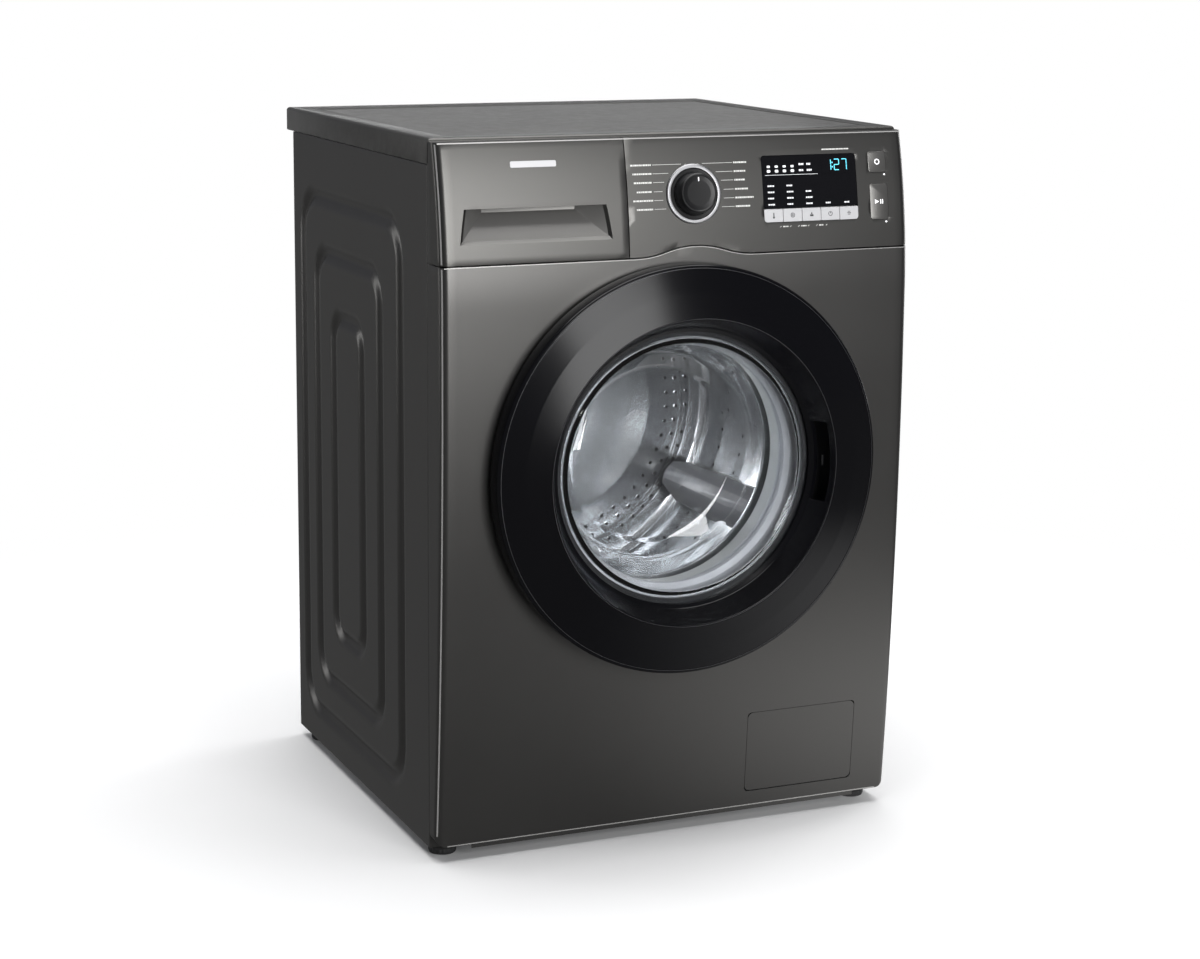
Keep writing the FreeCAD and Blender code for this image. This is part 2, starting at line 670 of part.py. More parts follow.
def make_tub():
    r_in = tub_radius - tub_wall
    seam = tub_seam_y
    flange = 6.0
    front_shell = joined([
        along_y(tub_radius, r_in, tub_front_y, seam),
        along_y(tub_radius, neck_radius, tub_front_y, tub_front_y + tub_wall),
        along_y(neck_radius + 3, neck_radius, neck_y, tub_front_y + tub_wall),
        along_y(flange_radius, r_in, seam - flange, seam),
    ])
    hub_y0, hub_y1 = tub_back_y - 4, tub_back_y + 50
    rear_shell = joined([
        along_y(tub_radius, r_in, seam, tub_back_y),
        along_y(tub_radius, bearing_radius, tub_back_y, tub_back_y + 6),
        along_y(flange_radius, r_in, seam, seam + flange),
        along_y(bearing_radius + 9, bearing_radius, hub_y0, hub_y1),
    ] + [hub_rib(22.5 + i * 45.0) for i in range(8)])
    rear_shell = rear_shell.cut(along_y(bearing_radius, 0, hub_y0 - 1, hub_y1 + 1))

    for side in (-1, 1):
        lug = box(side * spring_x - 15, side * spring_x + 15, spring_y - 4, spring_y + 4,
                  axis_z + 90, spring_bottom)
        rear_shell = rear_shell.fuse(lug.cut(along_y(tub_radius - 1, 0, tub_front_y, tub_back_y)))
    screws = []
    for dx, dz in flange_places():
        hole = rod(3.2, V(dx, seam - 20, axis_z + dz), Y_AXIS, 40)
        front_shell = front_shell.cut(hole)
        rear_shell = rear_shell.cut(hole)
        shank = rod(3.0, V(dx, seam - flange - 0.5, axis_z + dz), Y_AXIS, 2 * flange + 4)
        head = rod(5.0, V(dx, seam - flange - 4.5, axis_z + dz), Y_AXIS, 4.5)
        screws.append(shank.fuse(head))
    for x in heater_places():
        z = heater_level(x)
        rear_shell = rear_shell.cut(rod(5.2, V(x, tub_back_y - 10, z), Y_AXIS, 40))
    front_shell = front_shell.cut(rod(fill_hose_radius - 3, V(fill_hose_x, fill_hose_y, axis_z + 100),
                                      Z_AXIS, 200))
    front_shell = front_shell.cut(rod(sump_hose_radius - 4, V(sump_hose_x, sump_hose_y, axis_z - 309),
                                      Z_AXIS, 180))
    parts["tub_front"] = front_shell
    parts["tub_rear"] = rear_shell.removeSplitter()
    parts["tub_screws"] = Part.makeCompound(screws)


def hub_rib(angle):
    rib = box(-3, 3, tub_back_y + 3, tub_back_y + 28, 34, tub_radius - 14)
    slope = Part.Face(Part.makePolygon([V(-5, tub_back_y + 29, 60), V(-5, tub_back_y + 29, tub_radius),
                                        V(-5, tub_back_y + 8, tub_radius), V(-5, tub_back_y + 29, 60)]))
    rib = rib.cut(slope.extrude(V(10, 0, 0)))
    rib.rotate(V(0, 0, 0), Y_AXIS, angle)
    rib.translate(V(0, 0, axis_z))
    return rib


def heater_places():
    return (-28.0, 28.0)


def heater_level(x):
    return axis_z - math.sqrt((drum_radius + 10.5) ** 2 - x ** 2)


def make_tub_fittings():
    tub_solid = along_y(tub_radius, 0, tub_front_y, tub_back_y + 6)
    weight_y1 = tub_seam_y - 14
    weight = box(-58, 150, tub_front_y + 45, weight_y1, axis_z + 200, axis_z + tub_radius + 54)
    parts["counterweight_top"] = weight.cut(tub_solid)
    collar = along_y(tub_radius - 7, neck_radius + 34, neck_y - 2, tub_front_y)
    parts["counterweight_front"] = collar.common(box(-half, half, front, back, 0, axis_z - 20))

    f = front
    seal = turned([
        (port_radius + 2 + gap_soft, f + 10.5), (port_radius + 8, f + 10.5), (port_radius + 8, f + 28),
        (port_radius - 4, f + 36), (neck_radius + 8, neck_y - 6), (neck_radius + 8, neck_y + 12),
        (neck_radius + 3 + gap_soft, neck_y + 12), (neck_radius + 3 + gap_soft, neck_y - gap_soft),
        (neck_radius - 2, neck_y - gap_soft), (neck_radius - 4, neck_y - 8), (neck_radius + 4, f + 30),
        (bowl_front_radius - 3.5, f + 24), (bowl_front_radius - 4.5, f + 20), (bowl_front_radius + 4, f + 18),
        (port_radius - 2, f + port_flange + 3), (port_radius + 2 + gap_soft, f + port_flange + gap_soft)])
    parts["door_gasket"] = seal
    band = turned_ring(neck_radius + 8 + gap_soft + 1.4, neck_y + 3, 1.4)
    parts["gasket_clamp"] = band

    # Motor under the tub, its two feet shaped to the tub.
    y0, y1 = pulley_y - 160, pulley_y - 24
    body = joined([
        rod(motor_radius, V(motor_x, y0, motor_z), Y_AXIS, y1 - y0),
        rod(motor_radius - 12, V(motor_x, y0 - 8, motor_z), Y_AXIS, y1 - y0 + 16),
    ] + [box(motor_x - 16, motor_x + 16, y, y + 18, motor_z, axis_z - tub_radius + 40)
         for y in (y0 + 6, y1 - 60)])
    body = body.cut(tub_solid)
    bore = rod(6.0 + fit_running, V(motor_x, y1 - 12, motor_z), Y_AXIS, 40)
    parts["motor"] = body.cut(bore)
    shaft = rod(6.0, V(motor_x, y1 - 8, motor_z), Y_AXIS, pulley_y + pulley_width + 2 - y1 + 8)
    wheel = rod(motor_pulley_radius, V(motor_x, pulley_y, motor_z), Y_AXIS, pulley_width)
    flange = rod(motor_pulley_radius + 3, V(motor_x, pulley_y - 1.5, motor_z), Y_AXIS, 1.5)
    parts["motor_pulley"] = joined([shaft, wheel, flange])

    x0, x1 = heater_places()
    z = heater_level(x0)
    bend_y = tub_back_y - 168
    loops = [rod(heater_radius, V(x0, bend_y, z), X_AXIS, x1 - x0),
             box(x0 - 16, x1 + 16, tub_back_y + 6, tub_back_y + 9, z - 12, z + 12)]
    for x in (x0, x1):
        loops.append(rod(heater_radius, V(x, bend_y, z), Y_AXIS, tub_back_y + 6 - bend_y))
        loops.append(Part.makeSphere(heater_radius, V(x, bend_y, z)))
    parts["heater"] = joined(loops)

    parts["drum_bearings"] = Part.makeCompound([
        along_y(bearing_radius, shaft_radius + fit_running, y, y + bearing_width)
        for y in (tub_back_y + 2, tub_back_y + 30)])
    parts["drive_belt"] = belt()


def turned_ring(radius, y, wire_radius):
    ring = Part.makeTorus(radius, wire_radius, V(0, y, axis_z), Y_AXIS)
    return ring


def belt():
    """Open belt round both pulleys: outer outline less inner outline."""
    y0, y1 = pulley_y + 1, pulley_y + pulley_width - 1
    return belt_outline(gap_soft + belt_thickness, y0, y1).cut(belt_outline(gap_soft, y0 - 1, y1 + 1))


def belt_outline(grow, y0, y1):
    big, small = pulley_radius + grow, motor_pulley_radius + grow
    run = math.hypot(motor_x, motor_z - axis_z)
    line = math.atan2(motor_z - axis_z, motor_x)
    wrap = math.acos((big - small) / run)
    centres = [(0.0, axis_z, big), (motor_x, motor_z, small)]
    touch = [[(x + r * math.cos(line + s * wrap), z + r * math.sin(line + s * wrap)) for s in (-1, 1)]
             for x, z, r in centres]
    corners = [touch[0][0], touch[1][0], touch[1][1], touch[0][1]]
    points = [V(x, y0, z) for x, z in corners]
    web = Part.Face(Part.makePolygon(points + points[:1])).extrude(V(0, y1 - y0, 0))
    return joined([web] + [rod(r, V(x, y0, z), Y_AXIS, y1 - y0) for x, z, r in centres])


# ================================================================ drum
def make_drum():
    y0, y1 = drum_front, drum_front + drum_length
    r, w = drum_radius, drum_wall
    shell = turned([
        (drum_mouth, y0 + 4), (drum_mouth, y0), (drum_mouth + 8, y0), (r - 14, y0 + 4), (r, y0 + 22),
        (r, y1 - 8), (r - 8, y1), (0, y1), (0, y1 - w), (r - 9, y1 - w), (r - w, y1 - 9), (r - w, y0 + 23),
        (r - 15, y0 + 4 + 2 * w), (drum_mouth + 8, y0 + 2 * w), (drum_mouth + 2 * w, y0 + 2 * w),
        (drum_mouth + 2 * w, y0 + 4)])
    parts["drum"] = shell
    parts["drum_paddles"] = Part.makeCompound([paddle(i * 360.0 / paddle_count) for i in range(paddle_count)])

    hub = rod(46.0, V(0, y1, axis_z), Y_AXIS, 14)
    arms = []
    for i in range(3):
        arm = Part.Face(Part.makePolygon([V(-24, y1, 0), V(-15, y1, drum_radius - 14),
                                          V(15, y1, drum_radius - 14), V(24, y1, 0), V(-24, y1, 0)]))
        arm = arm.extrude(V(0, 10, 0))
        arm.rotate(V(0, 0, 0), Y_AXIS, i * 120.0 + 60)
        arm.translate(V(0, 0, axis_z))
        arms.append(arm)
    shaft = rod(shaft_radius, V(0, y1, axis_z), Y_AXIS, pulley_y + pulley_width + 4 - y1)
    parts["drum_spider_shaft"] = joined([hub] + arms + [shaft])

    rim = along_y(pulley_radius, pulley_radius - 10, pulley_y, pulley_y + pulley_width)
    boss = along_y(30.0, shaft_radius, pulley_y, pulley_y + pulley_width)
    spokes = []
    for i in range(5):
        spoke = box(-9, 9, pulley_y + 4, pulley_y + 10, shaft_radius + 3, pulley_radius - 5)
        spoke.rotate(V(0, 0, 0), Y_AXIS, i * 72.0)
        spoke.translate(V(0, 0, axis_z))
        spokes.append(spoke)
    parts["drum_pulley"] = joined([rim, boss] + spokes)


def paddle(angle):
    """Hollow lifter: a crowned wedge standing on the drum wall."""
    y0, y1 = drum_front + 34, drum_front + drum_length - 14
    base = drum_radius - drum_wall
    crest = base - paddle_height
    wires = []
    for z, half_width, trim in ((base + 4, 34.0, 0.0), (crest + 6, 17.0, 8.0), (crest, 9.0, 16.0)):
        wires.append(rounded_wire(lambda u, v, z=z: V(u, v, z), -half_width, half_width,
                                  y0 + trim, y1 - trim, 8.0))
    solid = Part.makeLoft(wires, True, True)
    solid.rotate(V(0, 0, 0), Y_AXIS, angle)
    solid.translate(V(0, 0, axis_z))
    return solid.common(along_y(base, 0, drum_front, drum_front + drum_length))


# ================================================================ suspension and water
def make_suspension():
    cylinders, rods, springs = [], [], []
    tub_solid = along_y(tub_radius, 0, tub_front_y, tub_back_y)
    base = foot_height + sheet + 0.2 + 1.6
    for side in (-1, 1):
        x = side * damper_x
        tube = rod(damper_radius, V(x, damper_y, base), Z_AXIS, damper_top - base)
        tube = tube.cut(rod(damper_bore + fit_running, V(x, damper_y, base + 8), Z_AXIS, damper_top))
        cylinders.append(tube.fuse(box(x - 22, x + 22, damper_y - 16, damper_y + 16, base, base + 4)))
        stem = rod(damper_bore, V(x, damper_y, base + 50), Z_AXIS, axis_z - tub_radius + 40 - base - 50)
        block = box(x - 14, x + 14, damper_y - 12, damper_y + 12, axis_z - tub_radius + 38, axis_z - 150)
        rods.append(stem.fuse(block).cut(tub_solid))
        coil_x = side * spring_x
        springs.append(pipe(spring_radius, spring_radius - 3, V(coil_x, spring_y, spring_bottom), Z_AXIS,
                            spring_top - spring_bottom))
    parts["damper_cylinders"] = Part.makeCompound(cylinders)
    parts["damper_rods"] = Part.makeCompound(rods)
    parts["suspension_springs"] = Part.makeCompound(springs)


def make_water():
    tub_clear = along_y(tub_radius + gap_soft, 0, tub_front_y - 5, tub_back_y)
    y0 = front + 60
    pump = joined([
        along_y(pump_radius, 0, y0, y0 + 90, pump_x, pump_z),
        along_y(pump_radius - 10, 0, y0 + 90, y0 + 150, pump_x, pump_z),
        rod(sump_hose_radius - 3, V(sump_hose_x, sump_hose_y, pump_z), Z_AXIS, 50),
        rod(10.0, V(pump_x - 30, y0 + 60, pump_z + 15), V(-1, 0, 0), 40),
        box(pump_x - 30, pump_x + 30, y0 + 10, y0 + 80, foot_height + sheet + 1.8, pump_z),
    ])
    pump = pump.cut(along_y(filter_radius + fit_running, 0, y0 - 1, y0 + 62, pump_x, pump_z))
    parts["drain_pump"] = pump
    hose_low = pump_z + 50
    hose = pipe(sump_hose_radius, sump_hose_radius - 3, V(sump_hose_x, sump_hose_y, hose_low), Z_AXIS,
                axis_z - 150 - hose_low)
    parts["sump_hose"] = hose.cut(tub_clear)
    fill = rod(fill_hose_radius, V(fill_hose_x, fill_hose_y, axis_z + 150), Z_AXIS,
               housing_z0 - gap_soft - axis_z - 150)
    fill = fill.cut(rod(fill_hose_radius - 3, V(fill_hose_x, fill_hose_y, axis_z), Z_AXIS, height))
    parts["fill_hose"] = fill.cut(tub_clear)

    knob = joined([
        along_y(filter_radius, 0, front + 44, y0 + 58, pump_x, pump_z),
        along_y(filter_radius + 7, 0, front + 50, y0 - 1, pump_x, pump_z),
        box(pump_x - 3.5, pump_x + 3.5, skin_y(pump_z) + 15.5, front + 50, pump_z - 20, pump_z + 20),
    ])
    parts["drain_filter"] = knob

    plate = skin(0, 2.0).common(front_plate(flap_x0 + flap_gap, flap_x1 - flap_gap, flap_z0 + flap_gap,
                                            flap_z1 - flap_gap, 7.0))
    barrel_z = flap_z0 + flap_gap + 1.0
    barrel = rod(1.0, V(flap_x0 + 12, skin_y(barrel_z) + 1.0, barrel_z), X_AXIS, flap_x1 - flap_x0 - 24)
    pull = box((flap_x0 + flap_x1) / 2 - 20, (flap_x0 + flap_x1) / 2 + 20, skin_y(flap_z1) + 1.5,
               skin_y(flap_z1) + 6, flap_z1 - 8, flap_z1 - 6)
    parts["filter_flap"] = joined([plate, barrel, pull])

    valve_y = back - 2 * sheet - 0.4
    bodies = [box(inlet_places[0] - 25, inlet_places[1] + 25, valve_y - 50, valve_y - 3,
                  inlet_z - 20, inlet_z + 20)]
    for x in inlet_places:
        bodies.append(rod(inlet_radius - 0.8, V(x, valve_y - 10, inlet_z), Y_AXIS, 16))
        bodies.append(rod(inlet_radius, V(x, back + 1.2, inlet_z), Y_AXIS, inlet_length))
        bodies.append(rod(inlet_radius + 1.3, V(x, valve_y - 60, inlet_z), Y_AXIS, 20))
    valve = joined(bodies)
    for x in inlet_places:
        valve = valve.cut(rod(7.0, V(x, valve_y + 2, inlet_z), Y_AXIS, inlet_length + 16))
    parts["water_inlet_valve"] = valve

    y_wall = back - sheet - 0.2
    gland = joined([rod(8.8, V(gland_x, y_wall - 8, gland_z), Y_AXIS, 12),
                    rod(14.0, V(gland_x, y_wall, gland_z), Y_AXIS, 8)])
    gland = gland.cut(rod(4.0, V(gland_x, y_wall - 10, gland_z), Y_AXIS, 30))
    spigot = joined([rod(spigot_radius + 2.6, V(spigot_x, y_wall - 30, spigot_z), Y_AXIS, 34),
                     rod(spigot_radius + 7, V(spigot_x, y_wall, spigot_z), Y_AXIS, 3),
                     rod(spigot_radius, V(spigot_x, y_wall, spigot_z), Y_AXIS, 28)])
    spigot = spigot.cut(rod(spigot_radius - 3, V(spigot_x, y_wall - 40, spigot_z), Y_AXIS, 80))
    parts["rear_fittings"] = Part.makeCompound([gland, spigot])


def make_dispenser():
    y0 = side_front + 4
    y1 = y0 + housing_length
    w = moulding
    shell = box(housing_x0, housing_x1, y0, y1, housing_z0, housing_z1)
    hollow = box(housing_x0 + w, housing_x1 - w, y0 - 1, y1 - w, housing_z0 + w, housing_z1 - w)
    spout = rod(fill_hose_radius - 4, V(fill_hose_x, fill_hose_y, housing_z0 - 1), Z_AXIS, 20)
    parts["dispenser_housing"] = shell.cut(hollow).cut(spout)

    c = w + tray_clearance
    x0, x1 = housing_x0 + c, housing_x1 - c
    z0, z1 = housing_z0 + w + 1.0, housing_z1 - w - 14
    ty0, ty1 = skin_back, y1 - w - 6
    t = tray_wall
    tray = box(x0, x1, ty0, ty1, z0, z1)
    third = (x1 - x0) / 3
    cells = [(x0 + t, x0 + 2 * third - t / 2), (x0 + 2 * third + t / 2, x1 - t)]
    tray = tray.cut(box(cells[0][0], cells[0][1], ty0 + t, ty1 - t, z0 + t, z1 + 1))
    middle = (ty0 + ty1) / 2
    tray = tray.cut(box(cells[1][0], cells[1][1], ty0 + t, middle - t / 2, z0 + t, z1 + 1))
    tray = tray.cut(box(cells[1][0], cells[1][1], middle + t / 2, ty1 - t, z0 + t, z1 + 1))
    parts["drawer_tray"] = tray


# ================================================================ worktop, feet, screws
def make_worktop():
    y0 = skin_y(fascia_top) + fascia_top_depth + worktop_gap
    y1 = worktop_back
    z0, z1 = height - worktop_thickness, height
    w = moulding
    slab = box(-half, half, y0, y1, z0 + 0.2, z1)
    slab = slab.makeFillet(4.0, [e for e in slab.Edges if e.BoundBox.ZMin > z1 - 0.1])
    hollow = box(-half + w, half - w, y0 + w, y1 - w, z0 - 1, z1 - board_thickness - 5)
    board_y0 = y0 + board_front_border
    well = box(-board_half, board_half, board_y0, board_back, z1 - board_thickness, z1 + 1)
    frame = slab.cut(hollow).cut(well)
    frame = frame.cut(box(-board_half + 12, board_half - 12, board_y0 + 12, board_back - 12, z0, z1 + 1))
    parts["worktop_frame"] = frame
    g = board_gap
    board = box(-board_half + g, board_half - g, board_y0 + g, board_back - g,
                z1 - board_thickness + 0.1, z1 - 0.6)
    parts["worktop_board"] = board


def make_feet():
    names = ["foot_front_left", "foot_front_right", "foot_rear_left", "foot_rear_right"]
    for name, (x, y) in zip(names, foot_places()):
        pad = Part.makeCone(foot_radius, foot_radius - 1.5, 9.0, V(x, y, 0), Z_AXIS)
        neck = rod(9.0, V(x, y, 9), Z_AXIS, foot_height - 9 - 0.6)
        stud = rod(stud_radius, V(x, y, 9), Z_AXIS, 36)
        parts[name] = joined([pad, neck, stud])


def make_screws():
    """Hexagon-head screws that hold the rear cover and the worktop."""
    heads = []
    y0 = back - sheet - 0.2 + 2 * sheet
    ring = pulley_radius + 25 + 9
    for i in range(6):
        angle = math.radians(30 + i * 60)
        heads.append(hex_screw(V(ring * math.cos(angle), y0, axis_z + ring * math.sin(angle))))
    for x in (-250.0, 250.0):
        for z in (60.0, height - worktop_thickness - 40):
            heads.append(hex_screw(V(x, back - sheet - 0.2, z)))
    parts["cabinet_screws"] = Part.makeCompound(heads)


def hex_screw(point):
    radius = 4.2
    corners = [V(point.x + radius * math.cos(math.radians(60 * i)), point.y,
                 point.z + radius * math.sin(math.radians(60 * i))) for i in range(6)]
    head = Part.Face(Part.makePolygon(corners + corners[:1])).extrude(V(0, 3, 0))
    return head.fuse(rod(5.4, point, Y_AXIS, 0.8))


make_cabinet_shell()
make_front_panel()
make_fascia()
make_drawer_front()
make_buttons()
make_dial()
make_control_board()
make_door()
make_hinge()
make_tub()
make_tub_fittings()
make_drum()
make_suspension()
make_water()
make_dispenser()
make_worktop()
make_feet()
make_screws()

os.makedirs("parts", exist_ok=True)
for name, shape in sorted(parts.items()):
    shape.exportStep(os.path.join("parts", name + ".step"))
    print("%-22s solids %2d valid %s volume %10.0f" % (name, len(shape.Solids), shape.isValid(),
                                                       shape.Volume))
print(len(parts), "nodes")
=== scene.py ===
"""Front-loading washing machine.

Finishes, pressed panels, door, drum and controls are built round the machine's CAD frame.
"""

import json
import logging
import math
from dataclasses import dataclass, field
from enum import Enum
from typing import Callable, Sequence

import bmesh
import bpy
from mathutils import Matrix, Vector


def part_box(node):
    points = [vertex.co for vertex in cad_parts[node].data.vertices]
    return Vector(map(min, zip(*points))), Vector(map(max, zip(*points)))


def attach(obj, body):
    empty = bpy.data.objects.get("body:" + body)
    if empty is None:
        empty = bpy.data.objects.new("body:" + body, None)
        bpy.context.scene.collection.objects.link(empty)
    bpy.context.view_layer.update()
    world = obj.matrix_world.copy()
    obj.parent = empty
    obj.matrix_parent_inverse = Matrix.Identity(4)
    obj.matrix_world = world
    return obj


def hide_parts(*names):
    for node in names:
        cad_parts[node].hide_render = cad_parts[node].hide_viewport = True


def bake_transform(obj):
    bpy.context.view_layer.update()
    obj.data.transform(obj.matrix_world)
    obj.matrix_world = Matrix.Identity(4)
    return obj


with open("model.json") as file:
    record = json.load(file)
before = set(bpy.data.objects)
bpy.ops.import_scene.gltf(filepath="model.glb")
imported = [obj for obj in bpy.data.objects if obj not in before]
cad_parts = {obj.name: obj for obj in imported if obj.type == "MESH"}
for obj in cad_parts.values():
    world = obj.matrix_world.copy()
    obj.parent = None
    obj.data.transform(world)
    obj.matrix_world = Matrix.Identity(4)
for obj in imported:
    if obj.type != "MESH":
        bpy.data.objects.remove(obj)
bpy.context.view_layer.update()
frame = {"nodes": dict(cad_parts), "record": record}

LOG = logging.getLogger("washing_machine")
MM = 0.001
FULL_TURN = 2 * math.pi
FORWARD = Matrix.Rotation(math.pi / 2, 4, "X")

Point = tuple[float, float]
Colour = tuple[float, float, float]


# ---------------------------------------------------------------- shader groups and finishes
class NodeSheet:
    """A node tree with short ways to add nodes and join sockets."""

    def __init__(self, tree: bpy.types.NodeTree) -> None:
        """Keeps the tree that the nodes are added to."""
        self.tree = tree

    def add(self, kind: str, inputs: dict | None = None, **props: object) -> bpy.types.Node:
        """Adds one node.

        Args:
            kind: The node's type, without the ShaderNode prefix.
            inputs: Socket name or number to a value, or to the socket that feeds it.
            props: The node's own settings.

        Returns:
            The new node.
        """
        node = self.tree.nodes.new("ShaderNode" + kind)
        for name, value in props.items():
            setattr(node, name, value)
        for name, value in (inputs or {}).items():
            if isinstance(value, bpy.types.NodeSocket):
                self.tree.links.new(value, node.inputs[name])
            else:
                node.inputs[name].default_value = value
        return node

    def math(self, operation: str, *values: object, clamp: bool = False) -> bpy.types.NodeSocket:
        """Adds a Math node and returns its result."""
        node = self.add("Math", dict(enumerate(values)), operation=operation, use_clamp=clamp)
        return node.outputs[0]

    def noise(self, vector: bpy.types.NodeSocket, scale: object, detail: float = 2.0,
              roughness: float = 0.5) -> bpy.types.NodeSocket:
        """Adds a Noise texture and returns its value."""
        node = self.add("TexNoise", {"Vector": vector, "Scale": scale, "Detail": detail,
                                     "Roughness": roughness})
        return node.outputs[0]

    def mix(self, factor: object, first: object, second: object,
            blend: str = "MIX") -> bpy.types.NodeSocket:
        """Mixes two colours and returns the result."""
        node = self.add("Mix", {0: factor, 6: first, 7: second}, data_type="RGBA", blend_type=blend)
        return node.outputs[2]

    def spread(self, value: object, low: float, high: float) -> bpy.types.NodeSocket:
        """Maps a value from 0..1 to low..high and returns it."""
        node = self.add("MapRange", {0: value, 3: low, 4: high})
        return node.outputs[0]


class EffectGroups:
    """Shader node groups that several finishes share, each built once."""

    def __init__(self) -> None:
        """Starts with no group built."""
        self._built: dict[str, bpy.types.NodeTree] = {}

    def _group(self, name: str, inputs: Sequence[tuple[str, str, object]],
               outputs: Sequence[tuple[str, str]]) -> tuple[NodeSheet, object, object]:
        """Makes an empty group with named sockets.

        Args:
            name: The group's name.
            inputs: Name, socket kind and default of each input.
            outputs: Name and socket kind of each output.

        Returns:
            The group's node sheet, its input node and its output node.
        """
        tree = bpy.data.node_groups.new(name, "ShaderNodeTree")
        for socket_name, kind, default in inputs:
            socket = tree.interface.new_socket(socket_name, in_out="INPUT", socket_type=kind)
            if default is not None:
                socket.default_value = default
        for socket_name, kind in outputs:
            tree.interface.new_socket(socket_name, in_out="OUTPUT", socket_type=kind)
        self._built[name] = tree
        entry = tree.nodes.new("NodeGroupInput")
        leave = tree.nodes.new("NodeGroupOutput")
        return NodeSheet(tree), entry, leave

    def grain(self) -> bpy.types.NodeTree:
        """Returns the group for a surface's fine grain, slow mottling and colour drift."""
        if "surface_grain" in self._built:
            return self._built["surface_grain"]
        sheet, entry, leave = self._group(
            "surface_grain",
            [("Vector", "NodeSocketVector", None), ("Scale", "NodeSocketFloat", 400.0),
             ("Stretch", "NodeSocketVector", (1.0, 1.0, 1.0)),
             ("Colour", "NodeSocketColor", (0.5, 0.5, 0.5, 1.0)),
             ("Colour Spread", "NodeSocketFloat", 0.05), ("Roughness", "NodeSocketFloat", 0.5),
             ("Roughness Spread", "NodeSocketFloat", 0.05)],
            [("Colour", "NodeSocketColor"), ("Roughness", "NodeSocketFloat"),
             ("Height", "NodeSocketFloat")])
        stretched = sheet.add("VectorMath", {0: entry.outputs["Vector"], 1: entry.outputs["Stretch"]},
                              operation="MULTIPLY").outputs[0]
        fine = sheet.noise(stretched, entry.outputs["Scale"], 3.0)
        slow = sheet.noise(entry.outputs["Vector"], 7.0, 4.0, 0.6)
        both = sheet.math("ADD", sheet.math("MULTIPLY", fine, 0.45), sheet.math("MULTIPLY", slow, 0.55))
        offset = sheet.math("SUBTRACT", both, 0.5)
        colour_reach = sheet.math("MULTIPLY", entry.outputs["Colour Spread"], 4.0)
        tint = sheet.math("MULTIPLY_ADD", offset, colour_reach,
                          1.0)
        scaled = sheet.add("VectorMath", {0: entry.outputs["Colour"], "Scale": tint}, operation="SCALE")
        rough = sheet.math("MULTIPLY_ADD", offset,
                           sheet.math("MULTIPLY", entry.outputs["Roughness Spread"], 4.0),
                           entry.outputs["Roughness"], clamp=True)
        sheet.tree.links.new(scaled.outputs[0], leave.inputs["Colour"])
        sheet.tree.links.new(rough, leave.inputs["Roughness"])
        sheet.tree.links.new(fine, leave.inputs["Height"])
        return sheet.tree

    def wear(self) -> bpy.types.NodeTree:
        """Returns the group that masks rubbed edges and settled dust."""
        if "edge_wear" in self._built:
            return self._built["edge_wear"]
        sheet, entry, leave = self._group(
            "edge_wear",
            [("Vector", "NodeSocketVector", None), ("Edge", "NodeSocketFloat", 0.3),
             ("Dust", "NodeSocketFloat", 0.2)],
            [("Edge", "NodeSocketFloat"), ("Dust", "NodeSocketFloat")])
        geometry = sheet.add("NewGeometry")
        sharp = sheet.add("MapRange", {0: geometry.outputs["Pointiness"], 1: 0.53, 2: 0.62}).outputs[0]
        patches = sheet.noise(entry.outputs["Vector"], 60.0, 5.0, 0.65)
        broken = sheet.add("MapRange", {0: patches, 1: 0.42, 2: 0.62}).outputs[0]
        edge = sheet.math("MULTIPLY", sheet.math("MULTIPLY", sharp, broken), entry.outputs["Edge"])
        upward = sheet.add("SeparateXYZ", {0: geometry.outputs["Normal"]}).outputs[2]
        facing = sheet.add("MapRange", {0: upward, 1: 0.35, 2: 0.95}).outputs[0]
        cloud = sheet.noise(entry.outputs["Vector"], 16.0, 6.0, 0.7)
        dust = sheet.math("MULTIPLY", sheet.math("MULTIPLY", facing, cloud), entry.outputs["Dust"])
        sheet.tree.links.new(edge, leave.inputs["Edge"])
        sheet.tree.links.new(dust, leave.inputs["Dust"])
        return sheet.tree

    def turned(self) -> bpy.types.NodeTree:
        """Returns the group for fine rings left by spinning sheet round the drum's axis."""
        if "turned_rings" in self._built:
            return self._built["turned_rings"]
        sheet, entry, leave = self._group(
            "turned_rings",
            [("Vector", "NodeSocketVector", None), ("Axis Height", "NodeSocketFloat", 0.459),
             ("Scale", "NodeSocketFloat", 900.0)],
            [("Height", "NodeSocketFloat"), ("Band", "NodeSocketFloat")])
        parts = sheet.add("SeparateXYZ", {0: entry.outputs["Vector"]})
        rise = sheet.math("SUBTRACT", parts.outputs[2], entry.outputs["Axis Height"])
        radius = sheet.math("SQRT", sheet.math("ADD", sheet.math("POWER", parts.outputs[0], 2.0),
                                               sheet.math("POWER", rise, 2.0)))
        path = sheet.math("ADD", radius, parts.outputs[1])
        along = sheet.add("CombineXYZ", {0: path}).outputs[0]
        fine = sheet.noise(along, entry.outputs["Scale"], 3.0, 0.7)
        band = sheet.noise(along, sheet.math("MULTIPLY", entry.outputs["Scale"], 0.06), 2.0)
        sheet.tree.links.new(fine, leave.inputs["Height"])
        sheet.tree.links.new(band, leave.inputs["Band"])
        return sheet.tree


EFFECTS = EffectGroups()


class Pattern(Enum):
    """How a finish's relief lies on the surface."""

    GRAIN = "grain"
    TURNED = "turned"


